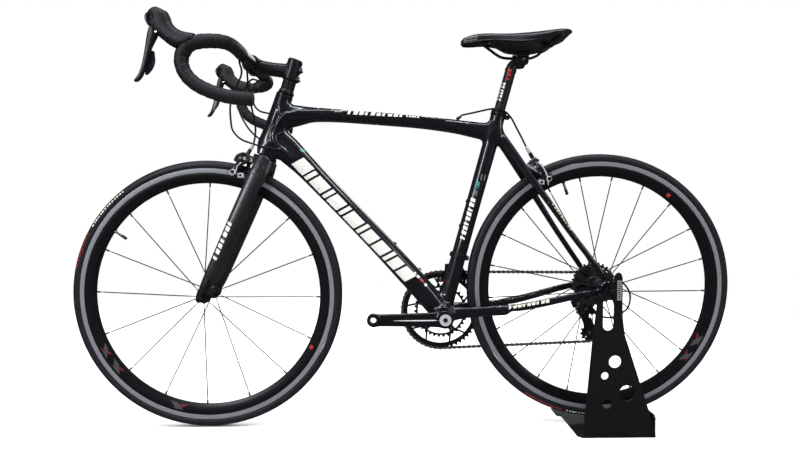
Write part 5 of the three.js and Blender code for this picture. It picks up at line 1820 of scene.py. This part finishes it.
def tooth_phase(centre, teeth):
    """The angle at which a tooth stands between two rollers of the chain."""
    off = CHAIN_PINS - centre
    on = off[np.abs(np.hypot(*off.T) - pitch_radius(teeth)) < 0.8]
    if len(on) == 0:
        return 0.0
    turns = np.arctan2(on[:, 1], on[:, 0]) * teeth
    return (math.atan2(np.sin(turns).mean(), np.cos(turns).mean()) + math.pi) / teeth


def gear(centre, teeth, phase, tip=2.3, sharp=0.1):
    """A toothed outline with round seats for the chain's rollers."""
    r = pitch_radius(teeth)
    outline = []
    for i in range(teeth):
        at = phase + 2 * math.pi * i / teeth
        half = math.pi / teeth
        for share, height in ((-sharp, tip), (sharp, tip), (0.42, -0.4), (0.6, -2.6), (0.82, -3.9),
                              (1.18, -3.9),
                              (1.4, -2.6), (1.58, -0.4)):
            a = at + share * half
            outline.append((centre[0] + (r + height) * math.cos(a),
                            centre[1] + (r + height) * math.sin(a)))
    return outline


def chain_shape():
    """Rollers, inner and outer plates and pins, link by link."""
    shape = Shape()
    count = len(CHAIN_PINS)
    for i, (x, z) in enumerate(CHAIN_PINS):
        nx, nz = CHAIN_PINS[(i + 1) % count]
        turn = math.atan2(nz - z, nx - x)
        length = math.hypot(nx - x, nz - z)
        outer = i % 2 == 0
        waist, round_r = (2.1, 4.4) if outer else (2.4, 4.2)
        outline = []
        for end, start in ((0.0, math.pi * 0.62), (length, -math.pi * 0.38)):
            outline += circle((end, 0), round_r, 7, start, math.pi * 0.76)
            outline.append((length / 2, -waist if end == 0 else waist))
        near, far = (2.15, 2.95) if outer else (1.2, 2.0)
        place = basis((math.cos(turn), 0, math.sin(turn)), (0, 1, 0),
                      (-math.sin(turn), 0, math.cos(turn)), (x, 0, z))
        for side in (-1, 1):
            low, high = sorted((CHAIN_Y + side * near, CHAIN_Y + side * far))
            shape.add(placed(prism(outline, low, high), place))
        shape.add(rod((x, CHAIN_Y - 3.3, z), (x, CHAIN_Y + 3.3, z), 1.8, 8, 0.3), 1)
        shape.add(rod((x, CHAIN_Y - 1.15, z), (x, CHAIN_Y + 1.15, z), 3.8, 12, 0.2), 1)
    return shape


def prism(outline, y0, y1):
    """A plain plate from a convex outline."""
    n = len(outline)
    points = [(x, y, z) for y in (y0, y1) for x, z in outline]
    faces = [tuple(range(n)), tuple(reversed(range(n, 2 * n)))]
    faces += [(i, n + i, n + (i + 1) % n, (i + 1) % n) for i in range(n)]
    return np.array(points, float), faces


# ---- Cranks and rings ----
RING_BOLT_R = 55
LEG_TURN = math.radians(13)
LEG_TURNS = [LEG_TURN + 2 * math.pi * k / 5 for k in range(5)]


def about_bb(radius, turn):
    return BB[0] + radius * math.cos(turn), BB[1] + radius * math.sin(turn)


def strut(turn_from, r_from, turn_to, r_to, y0, y1, half):
    """A thin straight web in the plane of a chainring."""
    a, b = np.array(about_bb(r_from, turn_from)), np.array(about_bb(r_to, turn_to))
    across = np.array(((a - b)[1], (b - a)[0])) / np.linalg.norm(b - a) * half
    return slab([tuple(a + across * 1.2), tuple(b + across), tuple(b - across), tuple(a - across * 1.2)],
                y0, y1, bevel=0.3)


def outer_ring_shape():
    shape = Shape()
    phase = tooth_phase(BB, OUTER_TEETH)
    shape.add(slab(gear(BB, OUTER_TEETH, phase), CHAIN_Y - 0.95, CHAIN_Y + 0.95, [circle(BB, 86.5, 96)],
                   bevel=0.25))
    shape.add(slab(circle(BB, 94.6, 96), CHAIN_Y - 1.7, CHAIN_Y + 1.5, [circle(BB, 87.2, 96)], bevel=0.5),
              1)
    for turn in LEG_TURNS:
        for lean in (-1, 1):
            shape.add(strut(turn + lean * 0.05, 56, turn + lean * 0.27, 88.5, CHAIN_Y - 1.5,
                            CHAIN_Y + 1.2, 2.3), 1)
        shape.add(slab(circle(about_bb(RING_BOLT_R, turn), 8.2, 24), CHAIN_Y - 1.8, CHAIN_Y + 0.6,
                       bevel=0.4), 1)
    return shape


def inner_ring_shape():
    shape = Shape()
    shape.add(slab(gear(BB, INNER_TEETH, 0.02), 39.5, 41.3, [circle(BB, 60, 80)], bevel=0.25))
    for turn in LEG_TURNS:
        shape.add(slab(circle(about_bb(RING_BOLT_R, turn), 8.2, 24), 39.4, 41.5, bevel=0.4))
    return shape


def crank_arm(side):
    x, z = BB
    reach = CRANK * side
    stations = [
        (x - side * 6, 63.5, z, 36, 13), (x + reach * 0.08, 63.6, z, 37, 13.6),
        (x + reach * 0.25, 64.4, z, 34.5, 13.4),
        (x + reach * 0.55, 65.8, z, 31.5, 13.2), (x + reach * 0.88, 67, z, 29.4, 12.8),
        (x + reach * 0.99, 67, z, 28.5, 12),
    ]
    flats = lambda low, high: sorted((side * low, side * high))
    groove = [(x + reach * 0.05, side * 72.6, z, 3.4, 4.4), (x + reach * 0.2, side * 73.2, z, 5.2, 5.6),
              (x + reach * 0.42, side * 74, z, 6, 6), (x + reach * 0.62, side * 75, z, 4, 4.4)]
    low, high = flats(53, 76)
    ends = sorted((x - side * 26, x + reach + side * 19))
    return skin((ends[0], low, z - 24), (ends[1], high, z + 24), 0.95, [(mirrored(stations, side), 3.4)],
                [(BB, 20.5, *flats(56, 71)), ((x + reach, z), 15.6, *flats(60.8, 73.2))],
                [((x + reach, z), 7.1, *flats(50, 80)), (BB, 14.4, *flats(70.2, 80))], [(groove, 2.0)],
                fillet=6, edge=1.2)


def crank_crest(side):
    """A slim raised edge along the arm's face; its sloping upper flank catches the light."""
    x, z = BB
    rings = []
    for part, rise, out in ((0.08, 0.9, 70.2), (0.16, 2.0, 70.8), (0.3, 2.3, 71.8), (0.5, 2.0, 72.4),
                            (0.62, 1.3, 72.8),
                            (0.72, 0.5, 73.2)):
        at = x + CRANK * side * part
        profile = ((-7, out - 1), (-5, out + 0.1), (-rise * 0.5, out + rise), (rise * 0.5, out),
                   (rise * 0.5, out - 4), (-7, out - 4))
        rings.append([(at, side * y, z + dz) for dz, y in profile])
    return loft(np.array(rings))


def crank_disc(side):
    """The bright cap over the spindle's end, with its small hexagonal socket."""
    shape = Shape()
    rings = ((69.6, 71.8, 14.1, 5.4, 48), (71.2, 72.3, 5.6, 2.6, 6), (70.6, 71.4, 5.4, 0, 0))
    for k, (low, high, outer, inner, corners) in enumerate(rings):
        holes = [circle(BB, inner, corners)] if inner else []
        shape.add(side_slab(circle(BB, outer, 48), side, low, high, holes, bevel=0.25), int(k > 0))
    return shape


def eye_ring(side):
    x, z = BB[0] + side * CRANK, BB[1]
    y = side * 67
    profile = [(7.1, y - 6.5), (9.2, y - 6.5), (9.6, y - 6.2), (9.6, y + 6.2), (9.2, y + 6.5),
               (7.1, y + 6.5)]
    return lathe(profile, 32, (x, 0, z))


def spider_shape():
    shape = Shape()
    x, z = BB
    shape.add(lathe([(0, -55.4), (12, -55.4), (12, 41), (22, 42), (24, 43.5), (24.5, 56), (20, 58),
                     (0, 58)], 44, (x, 0, z)))
    for turn in LEG_TURNS:
        place, inner, outer = about_bb(RING_BOLT_R, turn), about_bb(18, turn), about_bb(61, turn)
        bend = np.insert(about_bb(36, turn), 1, 44.6)
        leg = [(inner[0], 47.5, inner[1], 26, 9), (*bend, 15, 5.5), (outer[0], 43.4, outer[1], 12.5, 2.9)]
        shape.add(spine(leg, 20, 3.4))
        shape.add(slab(circle(place, 7.6, 24), 42, 44.8, bevel=0.5))
        shape.add(rod((place[0], 38.4, place[1]), (place[0], 39.6, place[1]), 5.2, 18), 1)
        shape.add(rod((place[0], 39.2, place[1]), (place[0], 49.4, place[1]), 4.4, 18), 1)
    return shape


def add_cranks():
    piece("ring_50", outer_ring_shape(), [DARK_METAL, ALLOY], "crankset", "dark_alloy",
          ["outer_chainring"])
    piece("ring_34", inner_ring_shape(), DARK_METAL, "crankset", "dark_alloy", ["inner_chainring"])
    piece("spider", spider_shape(), [CRANK_GLOSS, SILVER], "crankset", "crank_gloss")
    for name, side in SIDES:
        piece(f"crank_{name}", crank_arm(side), CRANK_GLOSS, "crankset", "crank_gloss",
              [f"{name}_crank_arm"])
        piece(f"crank_crest_{name}", crank_crest(side), CRANK_GLOSS, "crankset", "crank_gloss")
        piece(f"crank_cap_{name}", crank_disc(side), [BRIGHT_DISC, DARK_METAL], "crankset", "crank_gloss")
        piece(f"pedal_eye_{name}", eye_ring(side), SILVER, "crankset", "crank_gloss")


add_cranks()


# ---- Cassette, pulleys, chain ----
COGS = (28, 25, 22, 20, 18, 16, 14, 13, 12, 11)
COG_STEP = 3.95


def cassette_shape():
    shape = Shape()
    for i, teeth in enumerate(COGS):
        y = CHAIN_Y + (i - 6) * COG_STEP
        phase = tooth_phase(REAR_AXLE, teeth) if teeth == RUNNING_COG else 0.11 * i
        r = pitch_radius(teeth)
        holes = [circle(REAR_AXLE, 17.6, 40)] if r > 24 else [circle(REAR_AXLE, 12, 30)]
        if teeth > 18:
            span = 2 * math.pi / 6
            for k in range(6):
                middle = span * (k + 0.21 * i)
                outer = circle(REAR_AXLE, r - 8.5, 8, middle - 0.34, 0.68)
                holes.append(outer + circle(REAR_AXLE, 22.5, 6, middle + 0.26, -0.52))
        shape.add(slab(gear(REAR_AXLE, teeth, phase, 2.2, 0.14), y - 0.85, y + 0.85, holes, bevel=0.2))
        if i:
            r_space = min(17.4, r - 6)
            shape.add(lathe([(8.2, y - COG_STEP + 0.9), (r_space, y - COG_STEP + 0.9), (r_space, y - 0.9),
                             (8.2, y - 0.9)], 36,
                            (REAR_AXLE[0], 0, REAR_AXLE[1])), 1)
    end = CHAIN_Y + 3 * COG_STEP + 0.85
    shape.add(lathe([(8.2, end), (15.5, end), (15.5, end + 0.9), (13.5, end + 1.4), (8.2, end + 1.4)], 36,
                    (REAR_AXLE[0], 0, REAR_AXLE[1])), 1)
    return shape


def pulley_shape(centre, teeth=PULLEY_TEETH):
    shape = Shape()
    x, z = centre
    holes = [circle(centre, 5.0, 20)]
    for k in range(5):
        turn = 2 * math.pi * k / 5 + 0.3
        holes.append(circle((x + 11.4 * math.cos(turn), z + 11.4 * math.sin(turn)), 2.3, 10))
    outline = gear(centre, teeth, tooth_phase(centre, teeth), 2.0, 0.16)
    shape.add(slab(outline, CHAIN_Y - 0.95, CHAIN_Y + 0.95, holes, bevel=0.3))
    shape.add(lathe([(3.3, 45.4), (6.4, 45.4), (7, 46), (7, 49.6), (6.4, 50.2), (3.3, 50.2)], 24,
                    (x, 0, z)), 1)
    return shape


def add_gears():
    piece("cogs", cassette_shape(), [COG_METAL, MOULDED], "cassette", "chain_steel", ["cassette"])
    for name, centre in (("upper", UPPER_PULLEY), ("lower", LOWER_PULLEY)):
        piece(f"{name}_pulley", pulley_shape(centre), [MOULDED, DARK_METAL], f"{name}_jockey_wheel",
              "jockey_plastic",
              [f"{name}_jockey_wheel"])
    piece("chain_links", chain_shape(), [CHAIN_METAL, CHAIN_METAL], "frame", "chain_steel", ["chain"],
          angle=math.radians(30))


add_gears()


# ---- Derailleurs ----
def rear_derailleur_shape():
    ux, uz = UPPER_PULLEY
    knuckle = [(ux - 1, 61, uz + 3, 30, 12), (ux + 4, 68, uz + 15, 29, 14),
               (ux + 14, 75, uz + 28, 24, 13),
               (ux + 24, 78.5, uz + 37, 20, 12)]
    tail = [(ux - 12, 60, uz + 8, 16, 12), (ux + 6, 67, uz + 2, 15, 13), (ux + 30, 74, uz - 10, 12, 12),
            (ux + 38, 76, uz - 17, 9, 10)]
    pivot = (REAR_AXLE[0] + 13, REAR_AXLE[1] - 27)
    body = skin((ux - 30, 50, uz - 40), (ux + 62, 92, uz + 66), 1.0, [(knuckle, 3.0), (tail, 2.6)],
                [(UPPER_PULLEY, 13.4, 55.6, 66), (pivot, 9.6, 71, 84)], fillet=5)
    shape = Shape().add(body)
    hump = [(449, 57, 293, 20, 10), (459, 60, 297, 29, 15), (474, 65, 301, 31, 17),
            (490, 71, 303, 26, 15),
            (503, 75, 309, 20, 12)]
    shape.add(spine(hump, 26, 2.8))
    shape.add(lathe([(0, 70.4), (5, 70.4), (5, 84), (7.4, 84.4), (7.4, 86), (6.6, 86.4), (3, 86.4),
                     (3, 84.5), (0, 84.5)], 28,
                    (pivot[0], 0, pivot[1])), 1)
    shape.add(rod((ux + 36, 76, uz - 16), (ux + 44, 77.6, uz - 21.5), 4.4, 18, 0.6), 2)
    shape.add(bolt((ux + 10, 76.6, uz + 10), (0.1, 1, -0.3), 3.0, 2.4), 1)
    return shape


def cage_shape():
    (ux, uz), (lx, lz) = UPPER_PULLEY, LOWER_PULLEY
    outline = rounded([
        (ux - 21, uz - 2), (ux - 14, uz + 14), (ux + 2, uz + 18), (ux + 15, uz + 12), (ux + 21, uz - 6),
        (ux + 19, uz - 30),
        (lx + 14, lz + 16), (lx + 14.5, lz - 1), (lx + 8, lz - 11), (lx - 2, lz - 12.5), (lx - 9, lz - 6),
        (ux - 3, uz - 40),
    ], 4)
    opening = rounded([(ux + 6, uz - 12), (ux + 17, uz - 16), (ux + 16, uz - 27), (ux + 11, uz - 25)], 2)
    shape = Shape()
    shape.add(slab(outline, 43.1, 44.5, [opening], bevel=0.35))
    shape.add(slab(outline, 53.4, 54.9, [opening], bevel=0.35))
    for x, z in (UPPER_PULLEY, LOWER_PULLEY):
        shape.add(rod((x, 42.0, z), (x, 56.0, z), 3.0, 18), 1)
        shape.add(rod((x, 41.4, z), (x, 43.3, z), 4.6, 18, 0.5), 1)
    shape.add(rod((lx + 9, 43.5, lz + 14), (lx + 9, 54.5, lz + 14), 1.6, 12), 1)
    return shape


FRONT_CAGE = [(107, 386), (120, 383), (140, 371), (158, 358), (167, 366), (160, 384), (152, 399),
              (126, 404), (108, 403)]


def front_cage_shape():
    shape = Shape()
    roof = [(109, 400), (126, 400.6), (147, 398.4), (152, 399), (126, 404), (108, 403)]
    tail = [(161, 367), (168, 371), (161, 385), (159, 384), (164, 372), (159, 369)]
    for plate, low, high in ((FRONT_CAGE, 42, 43.3), (FRONT_CAGE, 53.1, 54.4), (roof, 42.6, 54),
                             (tail, 42.6, 54)):
        shape.add(slab(plate, low, high, bevel=0.3))
    shape.add(rod((94.7, 38.6, 364), (94.7, 42, 364), 4.2, 20, 0.4), 1)
    link = [(87, 371), (87, 359), (94, 356.5), (103, 358), (112, 370), (122, 384), (110, 388)]
    shape.add(slab(rounded(link, 4), 41.6, 43.4, bevel=0.3))
    return shape


def front_derailleur_shape():
    shape = Shape()
    shape.add(along_seat([(18.4, 0), (21.2, 0), (22, 0.8), (22, 12.2), (21.2, 13), (18.4, 13)], 147))
    at = seat_at(153)
    arm = [(at[0] + 4, 20, at[2] - 3, 18, 13), (at[0] + 4, 32, at[2] - 14, 19, 13),
           (at[0] - 2, 41, at[2] - 30, 18, 12),
           (132, 46, 406, 18, 9)]
    shape.add(spine(arm, 22, 3.0))
    lever = [(at[0] + 6, 33, at[2] - 8, 9, 8), (at[0] + 12, 34, at[2] + 10, 7, 7),
             (at[0] + 15, 34, at[2] + 26, 5, 6)]
    shape.add(spine(lever, 16, 2.6))
    front = np.array((-SEAT_UP[2], 0, SEAT_UP[0]))
    back = at - front * 22
    shape.add(spine([(*(back + front * 4), 13, 12), (*(back - front * 4), 11, 9)], 16, 3.4))
    shape.add(bolt(back - front * 1 + (0, -5, 0), (0, -1, 0), 3.6, 3.0), 1)
    ear = at + front * 20.5
    shape.add(spine([(*(ear - front * 1.5), 10, 9), (*(ear + front * 2.5), 9, 8)], 14, 3.4))
    return shape


def add_derailleurs():
    piece("rear_derailleur_body", rear_derailleur_shape(), [MOULDED, DARK_METAL, SILVER], "frame",
          "dark_alloy",
          ["rear_derailleur"])
    piece("rear_derailleur_cage", cage_shape(), [DARK_METAL, SILVER], "frame", "dark_alloy")
    piece("front_derailleur_body", front_derailleur_shape(), [ALLOY, SILVER], "frame", "dark_alloy",
          ["front_derailleur"])
    piece("front_derailleur_cage", front_cage_shape(), [DARK_METAL, SILVER], "frame", "dark_alloy")


add_derailleurs()


# ---- Cables ----
LEFT_SHIFT = [(-379, -97, 886), (-385, -70, 883), (-389, -46, 879), (-394, -33, 868), (-408, -30, 840),
              (-421, -30, 802), (-421, -29, 760), (-417, -28, 738),
              (-399, -27.5, 718), (-375, -27, 708), (-345, -27, 699), (-312, -26, 693)]
RIGHT_SHIFT = [(-379, 97, 886), (-385, 70, 883), (-389, 46, 879), (-395, 33, 868), (-412, 29, 840),
               (-420, 29, 806), (-402, 29, 762), (-383, 29, 738),
               (-360, 28.5, 721), (-335, 27, 710), (-312, 26, 702)]
REAR_BRAKE = [(-372, 97, 884), (-376, 76, 881), (-383, 56, 872), (-388, 47, 850), (-384, 42, 815),
              (-370, 35, 798), (-345, 29, 790), (-312, 24, 786)]
FRONT_BRAKE = [(-371, -97, 884), (-371, -76, 881), (-373, -56, 872), (-375, -44, 850), (-373, -30, 806),
               (-367, -16, 760), (-366.5, -12, 741), (-369, -10.5, 722), (-372.5, -10, 706)]
REAR_BRAKE_BACK = [(140, -9, 780), (160, -16, 783), (186, -22, 788), (207, -25.5, 792), (225, -26, 793),
                   (244, -23, 788), (262, -17.5, 773), (277, -12.5, 749), (290, -11, 726),
                   (302, -10, 703)]
DERAILLEUR_LOOP = [(466, 73.4, 366.5), (496, 80, 374), (552, 84, 370), (592, 84, 350), (612, 84, 326),
                   (617, 83.6, 304), (609, 83, 276),
                   (585, 82, 260), (561, 80, 252), (540, 78.6, 255), (523, 77.4, 263)]


def add_cables():
    turning = (("left_shift_cable", LEFT_SHIFT), ("right_shift_cable", RIGHT_SHIFT),
               ("rear_brake_cable_front", REAR_BRAKE))
    for node, points in turning:
        made = piece(f"{node}_housing", cable(points, 2.3, 14, 8), CABLE, None, "cable_jacket", [node],
                     angle=ROUND_ANGLE)
        start, end = Vector(points[-1]) * MM, Vector(points[0]) * MM
        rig.blend(made, "frame", "steering", start, end)
    piece("front_brake_housing", cable(FRONT_BRAKE, 2.3, 14, 8), CABLE, "steering", "cable_jacket",
          ["front_brake_cable"])
    piece("rear_brake_housing", cable(REAR_BRAKE_BACK, 2.3, 14, 8), CABLE, "frame", "cable_jacket",
          ["rear_brake_cable_rear"])
    piece("derailleur_housing", cable(DERAILLEUR_LOOP, 2.4, 14, 8), CABLE, "frame", "cable_jacket",
          ["rear_derailleur_cable"])


add_cables()


# ---- Display stand ----
STAND_OUT = -88.0
STAND_IN = -84.0
HOOK_SCREWS = ((462, 334), (505, 322))


def upright_shape():
    slot = circle((482, 272), 13, 17, math.pi, math.pi)
    outline = [(425.5, 4.3), (445, 238), (455, 325), (457, 343), (458.5, 346.5), (462, 348), (469, 344),
               *slot,
               (495, 386), (496.5, 391), (499.5, 395.5), (504, 397.8), (508, 397.4), (511.6, 394.4),
               (514.5, 386),
               (515, 324), (516.5, 290), (522, 249), (583, 67), (600.5, 4.3)]
    holes = [circle(place, 3.3, 16) for place in HOOK_SCREWS]
    holes += [circle((x, z), r, 40) for x, z, r in ((500, 184, 15), (476, 150, 9), (530, 108, 19),
                                                    (482, 82, 11))]
    return slab(outline, STAND_OUT, STAND_IN, holes, bevel=0.7)


def swapped(part, order):
    """The part with two of its axes changed round."""
    points, faces = part
    return points[:, order], [tuple(reversed(face)) for face in faces]


def stand_base_shape():
    """A folded foot plate: flat on the floor, turned up at the back with a notch for the tyre."""
    shape = Shape()
    floor_outline = [(415, -78), (425, -88), (601, -88), (601.2, 90), (415, 90), (403, 82), (403, 40),
                     (415, 34)]
    shape.add(swapped(slab(floor_outline, 0, 4, bevel=0.6), [0, 2, 1]))
    wall = [(-79, 0.4), (90, 0.4), (90, 42), (84, 50), (20, 50), (17, 46), (17, 29), (14, 26), (-14, 26),
            (-17, 29),
            (-17, 46), (-20, 50), (-73, 50), (-79, 43)]
    shape.add(swapped(slab(wall, 601, 605, bevel=0.6), [1, 0, 2]))
    return shape


def hook_shape():
    x, z = REAR_AXLE
    cup = circle((x, z), 4.4, 9, 0.0, -math.pi)
    outline = [(456.5, 326), (470, 326), (476, 331), (494, 331), (499, 316), (512, 316), (513, 350),
               (503, 362),
               (x + 8, 366), (x + 4.4, 362), *cup, (x - 4.4, 362), (x - 9, 364), (x - 14, 356),
               (470, 342), (457, 342)]
    shape = Shape().add(slab(outline, STAND_IN + 0.3, STAND_IN + 5.3, bevel=0.5))
    for sx, sz in HOOK_SCREWS:
        profile = [(0, -90), (1.8, -90), (2.2, -88.8), (3.4, -90), (5, -89.6), (5.5, -88.3), (2.7, -88.3),
                   (2.7, -81), (0, -81)]
        shape.add(lathe(profile, 20, (sx, 0, sz)), 1)
    return shape


def label_shape():
    """A plain pale plate on the upright's tall arm, with dark bars where it has print."""
    shape = Shape().add(slab([(501.5, 332), (511.5, 332), (511.5, 379), (501.5, 379)], -88.9, -88.1,
                             bevel=0.15))
    for k in range(9):
        low = 336 + 4.6 * k
        shape.add(slab([(503.4, low), (509.6, low), (509.6, low + 2.2), (503.4, low + 2.2)], -89.1, -88.7,
                       bevel=0.05), 1)
    return shape


def add_stand():
    piece("upright", upright_shape(), POWDER, "stand", "stand_coat", ["stand_upright"])
    piece("foot_plate", stand_base_shape(), POWDER, "stand", "stand_coat", ["stand_base"])
    piece("hook", hook_shape(), [POWDER, DARK_METAL], "stand", "stand_coat", ["axle_hook"])
    piece("label_plate", label_shape(), [GREY_MARK, POWDER], "stand", "stand_coat")


add_stand()

SIZE_FILE = "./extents.json"
with open(SIZE_FILE, "w") as size_file:
    json.dump({"cad": [list(p) for p in CAD_BOX], "visual": [list(p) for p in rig.bounds()]}, size_file)
